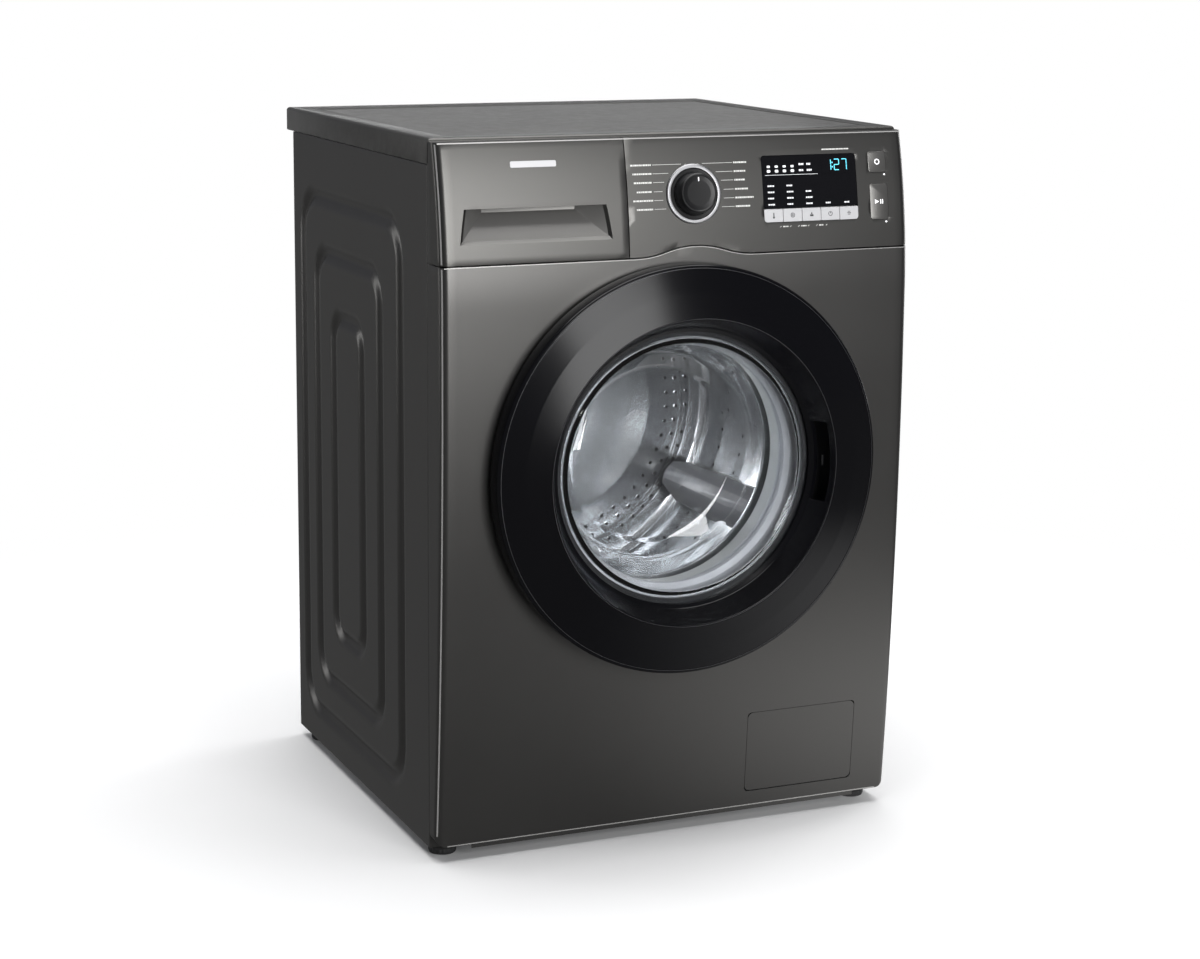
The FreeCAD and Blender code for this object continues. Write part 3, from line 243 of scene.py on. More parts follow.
@dataclass(frozen=True)
class Finish:
    """One procedural surface finish.

    Colours are linear. Relief is the height in metres of the fine bump.
    """

    name: str
    colour: Colour
    metallic: float = 0.0
    roughness: float = 0.45
    coat: float = 0.0
    coat_roughness: float = 0.05
    specular: float = 0.5
    grain: float = 500.0
    stretch: tuple[float, float, float] = (1.0, 1.0, 1.0)
    relief: float = 0.00002
    colour_spread: float = 0.04
    roughness_spread: float = 0.05
    edge: float = 0.25
    edge_colour: Colour = (0.5, 0.5, 0.5)
    dust: float = 0.06
    dust_colour: Colour = (0.5, 0.49, 0.46)
    glow: float = 0.0
    pattern: Pattern = Pattern.GRAIN
    axis_height: float = 0.459
    _cache: dict = field(default_factory=dict, compare=False, repr=False)

    def material(self) -> bpy.types.Material:
        """Returns the finish's material, built on first use."""
        if "material" in self._cache:
            return self._cache["material"]
        made = bpy.data.materials.new(self.name)
        made.use_nodes = True
        sheet = NodeSheet(made.node_tree)
        shader = made.node_tree.nodes["Principled BSDF"]
        self._cache["material"] = made
        place = sheet.add("TexCoord").outputs["Object"]
        grain = sheet.add("Group", node_tree=EFFECTS.grain())
        self._feed(sheet, grain, {"Vector": place, "Scale": self.grain, "Stretch": self.stretch,
                                  "Colour": (*self.colour, 1.0), "Colour Spread": self.colour_spread,
                                  "Roughness": self.roughness,
                                  "Roughness Spread": self.roughness_spread})
        wear = sheet.add("Group", node_tree=EFFECTS.wear())
        self._feed(sheet, wear, {"Vector": place, "Edge": self.edge, "Dust": self.dust})
        rubbed = sheet.mix(wear.outputs["Edge"], grain.outputs["Colour"], (*self.edge_colour, 1.0))
        dusty = sheet.mix(wear.outputs["Dust"], rubbed, (*self.dust_colour, 1.0))
        rough = sheet.math("ADD", grain.outputs["Roughness"],
                           sheet.math("MULTIPLY", wear.outputs["Dust"], 0.5), clamp=True)
        height = grain.outputs["Height"]
        if self.pattern is Pattern.TURNED:
            rings = sheet.add("Group", node_tree=EFFECTS.turned())
            self._feed(sheet, rings, {"Vector": place, "Axis Height": self.axis_height})
            height = rings.outputs["Height"]
            ring_shift = sheet.spread(rings.outputs["Band"], -0.05, 0.05)
            rough = sheet.math("ADD", rough, ring_shift, clamp=True)
        bump = sheet.add("Bump", {"Height": height, "Strength": 0.6, "Distance": self.relief})
        self._feed(sheet, shader, {"Base Color": dusty, "Roughness": rough, "Normal": bump.outputs[0],
                                   "Metallic": self.metallic, "Coat Weight": self.coat,
                                   "Coat Roughness": self.coat_roughness,
                                   "Specular IOR Level": self.specular})
        if self.glow > 0:
            self._feed(sheet, shader, {"Emission Color": (*self.colour, 1.0),
                                       "Emission Strength": self.glow})
        return made

    @staticmethod
    def _feed(sheet: NodeSheet, node: bpy.types.Node, values: dict) -> None:
        """Sets or links each named input of a node."""
        for name, value in values.items():
            if isinstance(value, bpy.types.NodeSocket):
                sheet.tree.links.new(value, node.inputs[name])
            else:
                node.inputs[name].default_value = value


@dataclass(frozen=True)
class GlassFinish:
    """Clear pressed glass: mostly see-through, with a mirror-like sheen at low angles."""

    name: str
    tint: Colour = (0.93, 0.95, 0.97)
    ior: float = 1.5

    def material(self) -> bpy.types.Material:
        """Builds the glass, which lets lamplight through to what is behind it."""
        made = bpy.data.materials.new(self.name)
        made.use_nodes = True
        sheet = NodeSheet(made.node_tree)
        shader = made.node_tree.nodes["Principled BSDF"]
        place = sheet.add("TexCoord").outputs["Object"]
        smear = sheet.noise(place, 9.0, 4.0, 0.6)
        rough = sheet.spread(smear, 0.0, 0.03)
        sheet.tree.links.new(rough, shader.inputs["Roughness"])
        shader.inputs["Base Color"].default_value = (*self.tint, 1.0)
        shader.inputs["IOR"].default_value = self.ior
        shader.inputs["Transmission Weight"].default_value = 1.0
        lamp_rays = sheet.add("LightPath").outputs["Is Shadow Ray"]
        clear = sheet.add("BsdfTransparent", {"Color": (*self.tint, 1.0)}).outputs[0]
        both = sheet.add("MixShader", {0: lamp_rays, 1: shader.outputs[0], 2: clear})
        sheet.tree.links.new(both.outputs[0], made.node_tree.nodes["Material Output"].inputs["Surface"])
        return made


GRAPHITE = Finish("graphite_metallic_paint", (0.1, 0.098, 0.095), metallic=0.94, roughness=0.33,
                  grain=1800.0, relief=0.000012, colour_spread=0.03, roughness_spread=0.02,
                  edge=0.0, dust=0.02)
FASCIA = Finish("graphite_metallic_moulding", (0.086, 0.0845, 0.081), metallic=0.94, roughness=0.33,
                grain=2200.0, relief=0.00001, colour_spread=0.03, roughness_spread=0.02,
                edge=0.0, dust=0.02)
# Painted light: a lighter copy of the fascia paint for the finger pull's lining, standing in for light
# falling onto its ramps and floor.
PULL_LIT_PAINT = Finish("drawer_pull_lit_paint", (0.2, 0.196, 0.188), metallic=0.7, roughness=0.42,
                grain=2000.0, relief=0.00001, edge=0.0, dust=0.0)
WORKTOP_TRIM = Finish("worktop_border_moulding", (0.056, 0.055, 0.052), metallic=0.6, roughness=0.36,
                      grain=1500.0, relief=0.00002, edge=0.35, dust=0.05)
WORKTOP_BOARD = Finish("worktop_laminate", (0.033, 0.0325, 0.031), metallic=0.35, roughness=0.4,
                       grain=900.0, relief=0.00004, colour_spread=0.08, edge=0.2, dust=0.1)
ZINC = Finish("zinc_coated_sheet", (0.42, 0.43, 0.44), metallic=0.9, roughness=0.42, grain=55.0,
              relief=0.00002, colour_spread=0.12, roughness_spread=0.12, dust=0.12)
GLOSS_BLACK = Finish("gloss_black_moulding", (0.0022, 0.0022, 0.003), roughness=0.17, specular=0.2,
                     grain=1200.0, relief=0.000004, roughness_spread=0.02,
                     edge=0.0, dust=0.01)
SATIN_BLACK = Finish("satin_black_moulding", (0.008, 0.008, 0.009), roughness=0.4,
                     specular=0.16, grain=1000.0, relief=0.00003, edge=0.2, dust=0.05)
GREY_RUBBER = Finish("grey_moulded_rubber", (0.38, 0.38, 0.39), roughness=0.42, grain=700.0,
                     relief=0.00004, edge=0.1, dust=0.04)
BLACK_RUBBER = Finish("black_rubber", (0.014, 0.014, 0.015), roughness=0.62, grain=900.0,
                      relief=0.00008, colour_spread=0.12, edge=0.15, dust=0.2)
DRUM_STEEL = Finish("polished_stainless_steel", (0.56, 0.57, 0.58), metallic=1.0, roughness=0.22,
                    relief=0.00003, roughness_spread=0.05, edge=0.0, dust=0.0, pattern=Pattern.TURNED)
DRUM_SHADE = Finish("drum_hole_shade", (0.01, 0.01, 0.011), roughness=0.8, edge=0.0, dust=0.0)
TUB_PLASTIC = Finish("filled_polypropylene", (0.5, 0.5, 0.48), roughness=0.55, grain=600.0,
                     relief=0.00006, dust=0.15)
WHITE_PLASTIC = Finish("white_moulding", (0.7, 0.7, 0.69), roughness=0.38, grain=900.0,
                       relief=0.00002, edge=0.1, dust=0.06)
CAST_CONCRETE = Finish("cast_concrete", (0.34, 0.33, 0.31), roughness=0.9, grain=160.0,
                       relief=0.0006, colour_spread=0.16, dust=0.2)
CAST_ALUMINIUM = Finish("cast_aluminium", (0.55, 0.55, 0.56), metallic=1.0, roughness=0.45,
                        grain=260.0, relief=0.00012, dust=0.1)
MOTOR_STEEL = Finish("motor_housing_steel", (0.36, 0.37, 0.38), metallic=0.9, roughness=0.4,
                     grain=300.0, dust=0.15)
CIRCUIT = Finish("circuit_board_green", (0.02, 0.09, 0.04), roughness=0.35, coat=0.3, grain=300.0)
PLATED_STEEL = Finish("plated_steel", (0.56, 0.56, 0.55), metallic=1.0, roughness=0.3, grain=400.0,
                      relief=0.00003, dust=0.08)
FITTING_PLASTIC = Finish("fitting_plastic", (0.08, 0.08, 0.085), roughness=0.45, grain=700.0,
                         relief=0.00003, dust=0.1)
BUTTON_GREY = Finish("satin_grey_button", (0.16, 0.157, 0.15), metallic=0.85, roughness=0.33,
                     grain=1800.0, relief=0.00001, edge=0.0, dust=0.01)
KEY_SILVER = Finish("silver_key", (0.5, 0.5, 0.51), metallic=0.3, roughness=0.4, grain=1500.0,
                    relief=0.00001, edge=0.1, dust=0.0)
CHROME = Finish("satin_chrome", (0.4, 0.4, 0.41), metallic=1.0, roughness=0.3, grain=900.0,
                relief=0.00001, edge=0.0, dust=0.0)
DISPLAY_BLACK = Finish("display_window_black", (0.004, 0.004, 0.005), roughness=0.12, specular=0.3,
                       grain=900.0, relief=0.000002, edge=0.0, dust=0.0)
# White print with a faint glow: the white is the print's own colour, the glow is painted light, as the
# print is no lamp.
GLOWING_PRINT = Finish("print_white_glow", (0.62, 0.62, 0.6), roughness=0.5, edge=0.0, dust=0.0, glow=0.12)
ICON_WHITE = Finish("lit_icon_white", (0.75, 0.76, 0.78), roughness=0.5, edge=0.0, dust=0.0, glow=0.28)
ICON_DARK = Finish("dark_print", (0.05, 0.05, 0.052), roughness=0.5, edge=0.0, dust=0.0)
DIGIT_CYAN = Finish("cyan_digits", (0.12, 0.62, 0.78), roughness=0.5, edge=0.0, dust=0.0, glow=0.9)
LAMP_WHITE = Finish("white_lamp", (0.9, 0.9, 0.92), roughness=0.4, edge=0.0, dust=0.0, glow=0.7)
LIFTER_GREY = Finish("grey_lifter_moulding", (0.2, 0.2, 0.21), roughness=0.22, grain=900.0,
                     relief=0.00001, edge=0.1, dust=0.0)
KNOB_BLACK = Finish("satin_knob_black", (0.006, 0.006, 0.0065), roughness=0.3, specular=0.3,
                    grain=1400.0, relief=0.00001, edge=0.0, dust=0.0)
# Painted highlight: a lighter metallic grey for thin rings that stand in for light caught by the gloss
# door ring's crest and shoulder.
RING_HIGHLIGHT = Finish("door_crest_highlight", (0.1, 0.1, 0.105), metallic=0.8, roughness=0.3, edge=0.0, dust=0.0)
# Painted highlight: light grey for thin strips that stand in for light caught by the front's rounded
# edges and seams.
EDGE_LIGHT = Finish("painted_rim_highlight", (0.42, 0.415, 0.405), metallic=0.5, roughness=0.36, edge=0.0, dust=0.0)
DOOR_GLASS = GlassFinish("pressed_door_glass")

SLOT_FINISHES: dict[str, Finish] = {
    "cabinet_paint": GRAPHITE, "fascia_paint": FASCIA, "worktop_trim": WORKTOP_TRIM,
    "worktop_laminate": WORKTOP_BOARD, "galvanised_sheet": ZINC, "door_black": GLOSS_BLACK,
    "door_inner": SATIN_BLACK, "seal_rubber": GREY_RUBBER, "drum_steel": DRUM_STEEL,
    "tub_plastic": TUB_PLASTIC, "white_plastic": WHITE_PLASTIC, "cast_weight": CAST_CONCRETE,
    "cast_aluminium": CAST_ALUMINIUM, "motor_housing": MOTOR_STEEL, "black_rubber": BLACK_RUBBER,
    "button_plastic": BUTTON_GREY, "key_silver": KEY_SILVER, "display_black": DISPLAY_BLACK,
    "dial_black": SATIN_BLACK, "chrome_ring": CHROME, "circuit_board": CIRCUIT,
    "steel_parts": PLATED_STEEL, "fitting_plastic": FITTING_PLASTIC,
}


# ---------------------------------------------------------------- mesh workshop
class Bench:
    """Ways to start, cut, round and hand over a mesh."""

    @staticmethod
    def release(bm: bmesh.types.BMesh, name: str) -> bpy.types.Object:
        """Turns a bmesh into an object in the scene."""
        mesh = bpy.data.meshes.new(name)
        bm.to_mesh(mesh)
        bm.free()
        made = bpy.data.objects.new(name, mesh)
        bpy.context.scene.collection.objects.link(made)
        return made

    @staticmethod
    def settle(piece: bpy.types.Object) -> None:
        """Applies a piece's modifiers to its mesh."""
        bpy.context.view_layer.update()
        solved = piece.evaluated_get(bpy.context.evaluated_depsgraph_get())
        mesh = bpy.data.meshes.new_from_object(solved)
        piece.modifiers.clear()
        piece.data = mesh

    @classmethod
    def cut(cls, piece: bpy.types.Object, cutters: Sequence[bmesh.types.BMesh]) -> None:
        """Cuts closed shapes out of a closed piece."""
        made = [cls.release(bm, "cutter") for bm in cutters]
        for tool in made:
            step = piece.modifiers.new("cut", "BOOLEAN")
            step.operation = "DIFFERENCE"
            step.solver = "EXACT"
            step.object = tool
        cls.settle(piece)
        for tool in made:
            bpy.data.objects.remove(tool)

    @staticmethod
    def thicken(piece: bpy.types.Object, wall: float) -> None:
        """Gives a sheet its wall, inwards from its outer surface."""
        step = piece.modifiers.new("wall", "SOLIDIFY")
        step.thickness = wall
        step.offset = -1.0
        step.use_even_offset = True

    @staticmethod
    def ease(piece: bpy.types.Object, width: float, segments: int = 2, angle: float = 35.0) -> None:
        """Rounds a piece's sharp edges."""
        step = piece.modifiers.new("ease", "BEVEL")
        step.width = width
        step.segments = segments
        step.limit_method = "ANGLE"
        step.angle_limit = math.radians(angle)
        step.harden_normals = False

    @staticmethod
    def prism(outline: bmesh.types.BMesh, travel: Vector) -> bmesh.types.BMesh:
        """Turns a flat outline's faces into a closed solid by pushing a copy along travel."""
        grown = bmesh.ops.extrude_face_region(outline, geom=outline.faces[:], use_keep_orig=True)
        verts = [e for e in grown["geom"] if isinstance(e, bmesh.types.BMVert)]
        bmesh.ops.translate(outline, verts=verts, vec=travel)
        bmesh.ops.recalc_face_normals(outline, faces=outline.faces[:])
        return outline

    @staticmethod
    def rounded_outline(width: float, height: float, radius: float, steps: int = 6) -> bmesh.types.BMesh:
        """Makes a flat rounded rectangle in XY, centred on the origin."""
        bm = bmesh.new()
        bmesh.ops.create_grid(bm, x_segments=1, y_segments=1, size=0.5)
        bmesh.ops.scale(bm, verts=bm.verts[:], vec=(width, height, 1.0))
        if radius > 0:
            bmesh.ops.bevel(bm, geom=bm.verts[:], offset=radius, offset_type="OFFSET", segments=steps,
                            profile=0.5, affect="VERTICES", material=-1)
        return bm

    @classmethod
    def front_plug(cls, x0: float, x1: float, z0: float, z1: float, radius: float, y0: float,
                   y1: float) -> bmesh.types.BMesh:
        """Makes a rounded bar that runs front to back, for cutting an opening."""
        bm = cls.rounded_outline(x1 - x0, z1 - z0, radius)
        turn = Matrix.Translation(((x0 + x1) / 2, y0, (z0 + z1) / 2)) @ FORWARD
        bmesh.ops.transform(bm, matrix=turn, verts=bm.verts[:])
        return cls.prism(bm, Vector((0, y1 - y0, 0)))

    @staticmethod
    def softened(points: Sequence[tuple[float, float, float]], steps: int = 4,
                 closed: bool = True) -> list[Point]:
        """Rounds the corners of an outline.

        Args:
            points: Each corner's two coordinates and its radius.
            steps: Straight stretches in each rounded corner.
            closed: Whether the last corner joins the first.

        Returns:
            The outline's points.
        """
        result: list[Point] = []
        count = len(points)
        for i, (u, v, radius) in enumerate(points):
            if radius <= 0 or (not closed and i in (0, count - 1)):
                result.append((u, v))
                continue
            here = Vector((u, v))
            before = Vector(points[i - 1][:2]) - here
            after = Vector(points[(i + 1) % count][:2]) - here
            half_angle = before.angle(after) / 2
            reach = min(radius / max(math.tan(half_angle), 1e-6),
                        0.49 * before.length, 0.49 * after.length)
            first, last = here + before.normalized() * reach, here + after.normalized() * reach
            for k in range(steps + 1):
                t = k / steps
                spot = first * (1 - t) ** 2 + here * (2 * t * (1 - t)) + last * t ** 2
                result.append((spot.x, spot.y))
        return result

    @staticmethod
    def lathe(profile: Sequence[Point], steps: int, closed: bool = True) -> bmesh.types.BMesh:
        """Spins an outline of (radius, height) points round the Z axis."""
        bm = bmesh.new()
        verts = [bm.verts.new((r, 0.0, h)) for r, h in profile]
        pairs = zip(verts, verts[1:] + verts[:1] if closed else verts[1:])
        edges = [bm.edges.new(pair) for pair in pairs]
        bmesh.ops.spin(bm, geom=verts + edges, cent=(0, 0, 0), axis=(0, 0, 1), dvec=(0, 0, 0),
                       angle=FULL_TURN, steps=steps, use_merge=True)
        bmesh.ops.remove_doubles(bm, verts=bm.verts[:], dist=1e-6)
        bmesh.ops.recalc_face_normals(bm, faces=bm.faces[:])
        return bm

    @classmethod
    def door_lathe(cls, profile: Sequence[Point], steps: int, height: float,
                   closed: bool = True) -> bmesh.types.BMesh:
        """Spins an outline of (radius, y) points round the door's axis."""
        bm = cls.lathe([(r, -y) for r, y in profile], steps, closed)
        turn = Matrix.Translation((0, 0, height)) @ FORWARD
        bmesh.ops.transform(bm, matrix=turn, verts=bm.verts[:])
        return bm

    @staticmethod
    def smooth(piece: bpy.types.Object, angle: float = 30.0) -> None:
        """Shades a piece smooth, except across edges sharper than angle."""
        piece.data.shade_smooth()
        piece.data.set_sharp_from_angle(angle=math.radians(angle))

    @classmethod
    def hand_over(cls, piece: bpy.types.Object, finish: object, body: str, slot: str,
                  replaces: Sequence[str] = (), angle: float = 20.0) -> bpy.types.Object:
        """Dresses a finished piece and puts it on its body.

        Args:
            piece: The finished object.
            finish: A finish, or a list of them for a piece with several.
            body: The body that it moves with.
            slot: The record's material slot; not used.
            replaces: CAD nodes that it stands for.
            angle: Edges sharper than this stay sharp.

        Returns:
            The piece.
        """
        finishes = finish if isinstance(finish, list) else [finish]
        if piece.data.materials:
            piece.data.materials.clear()
        for one in finishes:
            piece.data.materials.append(one.material())
        cls.smooth(piece, angle)
        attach(piece, body)
        if replaces:
            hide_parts(*replaces)
        LOG.info("%s on %s: %d faces", piece.name, body, len(piece.data.polygons))
        return piece

    @classmethod
    def refined(cls, node: str, name: str, width: float, segments: int = 2) -> bpy.types.Object:
        """Copies a CAD node's shape, welded and with its edges rounded."""
        bm = bmesh.new()
        bm.from_mesh(frame["nodes"][node].data)
        bmesh.ops.remove_doubles(bm, verts=bm.verts[:], dist=1e-6)
        bmesh.ops.dissolve_limit(bm, angle_limit=math.radians(1.0), verts=bm.verts[:], edges=bm.edges[:])
        piece = cls.release(bm, name)
        cls.ease(piece, width, segments)
        cls.settle(piece)
        return piece


# ---------------------------------------------------------------- the front's shape
@dataclass
class FrontForm:
    """The front's outer surface: upright over the door, leaning back above, easing back below."""

    y_front: float
    seam: float
    half: float
    y_back: float
    edge_radius: float = 10 * MM
    brow_radius: float = 720 * MM
    shin_radius: float = 7.0
    nose_below_seam: float = 48 * MM
    nose_height: float = 60 * MM
    arch: tuple[float, float, float] = (-60 * MM, 92 * MM, 12 * MM)

    @property
    def nose_high(self) -> float:
        """Height where the front starts to lean back."""
        return self.seam - self.nose_below_seam

    def y(self, z: float) -> float:
        """Returns the surface's y at height z."""
        nose_low = self.nose_high - self.nose_height
        if z > self.nose_high:
            return self.y_front + self.brow_radius - math.sqrt(
                self.brow_radius ** 2 - (z - self.nose_high) ** 2)
        if z < nose_low:
            return self.y_front + self.shin_radius - math.sqrt(
                self.shin_radius ** 2 - (nose_low - z) ** 2)
        return self.y_front

    def lean(self, z: float) -> float:
        """Returns how far the surface leans back at height z, in radians."""
        if z <= self.nose_high:
            return 0.0
        return math.asin((z - self.nose_high) / self.brow_radius)

    def seam_at(self, x: float, level: float) -> float:
        """Returns the height at x of a line that follows the seam's low arch over the door."""
        start, end, rise = self.arch
        if not start < x < end:
            return level
        run = (end - start) / 4
        radius = (run ** 2 + (rise / 2) ** 2) / rise
        near = min(x - start, end - x)
        if near <= run:
            return level + radius - math.sqrt(radius ** 2 - near ** 2)
        return level + rise - radius + math.sqrt(radius ** 2 - (2 * run - near) ** 2)

    def columns(self, x0: float, x1: float, step: float = 9 * MM) -> list[tuple[float, float, float]]:
        """Returns the surface's columns from x0 to x1.

        Args:
            x0: Left end; at or past the left edge, the surface turns the corner there.
            x1: Right end, in the same way.
            step: Spacing across the flat.

        Returns:
            For each column its x, its set-back, and its share of the way to the back.
        """
        turn = [math.radians(a) for a in range(0, 90, 10)]
        r = self.edge_radius
        wrap_left, wrap_right = x0 <= -self.half, x1 >= self.half
        flat0 = -self.half + r if wrap_left else x0
        flat1 = self.half - r if wrap_right else x1
        count = max(2, round((flat1 - flat0) / step))
        flat = [(flat0 + (flat1 - flat0) * i / count, 0.0, 0.0) for i in range(count + 1)]
        corner = [(self.half - r + r * math.cos(a), r - r * math.sin(a), 0.0) for a in turn]
        side = [(self.half, r, 1.0), (self.half, r, 0.6), (self.half, r, 0.2)]
        right = [(x, s, t) for x, s, t in reversed(side + corner)]
        left = [(-x, s, t) for x, s, t in side + corner]
        return (left if wrap_left else []) + flat + (right if wrap_right else [])

    def sheet(self, x0: float, x1: float, low: Callable[[float], float], high: Callable[[float], float],
              rows: int) -> bmesh.types.BMesh:
        """Makes the surface between two height lines as a single sheet.

        Args:
            x0: Left end.
            x1: Right end.
            low: Lower line's height at x.
            high: Upper line's height at x.
            rows: Steps from the lower to the upper line.

        Returns:
            The sheet, facing out.
        """
        columns = self.columns(x0, x1)
        bm = bmesh.new()
        bmesh.ops.create_grid(bm, x_segments=len(columns) - 1, y_segments=rows, size=0.5)
        for vert in bm.verts:
            x, set_back, share = columns[round((vert.co.x + 0.5) * (len(columns) - 1))]
            z = low(x) + (high(x) - low(x)) * (vert.co.y + 0.5)
            near = self.y(z) + set_back
            vert.co = (x, near + (self.y_back - near) * share, z)
        bmesh.ops.recalc_face_normals(bm, faces=bm.faces[:])
        if sum(face.normal.y for face in bm.faces) > 0:
            bmesh.ops.reverse_faces(bm, faces=bm.faces[:])
        return bm

    def on_surface(self, bm: bmesh.types.BMesh, proud: float) -> None:
        """Lays a flat outline in XZ on the surface, standing proud of it."""
        for vert in bm.verts:
            vert.co.y = self.y(vert.co.z) - proud


def low_high(node: str) -> tuple[Vector, Vector]:
    """Returns a CAD node's lowest and highest corners."""
    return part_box(node)


PANEL_LOW, PANEL_HIGH = low_high("front_panel")
FASCIA_LOW, FASCIA_HIGH = low_high("control_fascia")
RING_LOW, RING_HIGH = low_high("door_ring")
SEAM_GAP = 1.5 * MM
SEAM = FASCIA_LOW.z - SEAM_GAP
AXIS = (RING_LOW.z + RING_HIGH.z) / 2
FORM = FrontForm(y_front=PANEL_LOW.y, seam=SEAM, half=PANEL_HIGH.x,
                 y_back=low_high("side_panel_left")[0].y - 0.5 * MM)


# ---------------------------------------------------------------- cabinet
@dataclass
class PressedSide:
    """A side panel with three soft pressed channels, one inside the other."""

    sign: int
    sheet: float = 1.2 * MM
    depth: float = 6 * MM
    channel: float = 24 * MM
    spacing: float = 4 * MM
    flange: float = 14 * MM

    def rings(self, low: Vector, high: Vector) -> list[tuple[float, float, float, float, float]]:
        """Returns each channel's outer outline: y0, y1, z0, z1 and corner radius."""
        return [
            (low.y + 85 * MM, high.y - 28 * MM, low.z + 34 * MM, high.z - 63 * MM, 62 * MM),
            (low.y + 160 * MM, high.y - 85 * MM, low.z + 88 * MM, high.z - 132 * MM, 52 * MM),
            (low.y + 230 * MM, high.y - 153 * MM, low.z + 159 * MM, high.z - 208 * MM, 42 * MM),
        ]

    def press(self, y: float, z: float, rings: Sequence[tuple[float, ...]]) -> float:
        """Returns how far the sheet is pressed in at a point."""
        pressed = 0.0
        for y0, y1, z0, z1, radius in rings:
            mid_y, mid_z = (y0 + y1) / 2, (z0 + z1) / 2
            dy = abs(y - mid_y) - ((y1 - y0) / 2 - radius)
            dz = abs(z - mid_z) - ((z1 - z0) / 2 - radius)
            outside = math.hypot(max(dy, 0.0), max(dz, 0.0)) + min(max(dy, dz), 0.0) - radius
            across = (outside + self.channel / 2) / (self.channel / 2)
            if abs(across) < 1:
                pressed += self.depth * (0.5 + 0.5 * math.cos(math.pi * across)) ** 0.8
        return pressed

    def build(self) -> bpy.types.Object:
        """Builds and dresses the panel."""
        side = "left" if self.sign < 0 else "right"
        low, high = low_high("side_panel_" + side)
        x = low.x if self.sign < 0 else high.x
        rings = self.rings(low, high)
        ny, nz = round((high.y - low.y) / self.spacing), round((high.z - low.z) / self.spacing)
        bm = bmesh.new()
        bmesh.ops.create_grid(bm, x_segments=ny, y_segments=nz, size=0.5)
        for vert in bm.verts:
            y = low.y + (high.y - low.y) * (vert.co.x + 0.5)
            z = low.z + (high.z - low.z) * (vert.co.y + 0.5)
            vert.co = (x - self.sign * self.press(y, z, rings), y, z)
        rim = [e for e in bm.edges if e.is_boundary]
        turned = bmesh.ops.extrude_edge_only(bm, edges=rim)
        verts = [e for e in turned["geom"] if isinstance(e, bmesh.types.BMVert)]
        bmesh.ops.translate(bm, verts=verts, vec=(-self.sign * self.flange, 0, 0))
        bmesh.ops.recalc_face_normals(bm, faces=bm.faces[:])
        flat_spot = Vector((x, 0.1, low.z + 0.02))
        centre = min(bm.faces, key=lambda f: (f.calc_center_median() - flat_spot).length)
        if centre.normal.x * self.sign < 0:
            bmesh.ops.reverse_faces(bm, faces=bm.faces[:])
        piece = Bench.release(bm, "side_panel_pressed_" + side)
        Bench.thicken(piece, self.sheet)
        Bench.ease(piece, 1.1 * MM, 3)
        Bench.settle(piece)
        return Bench.hand_over(piece, GRAPHITE, "cabinet", "cabinet_paint", ["side_panel_" + side], 40)


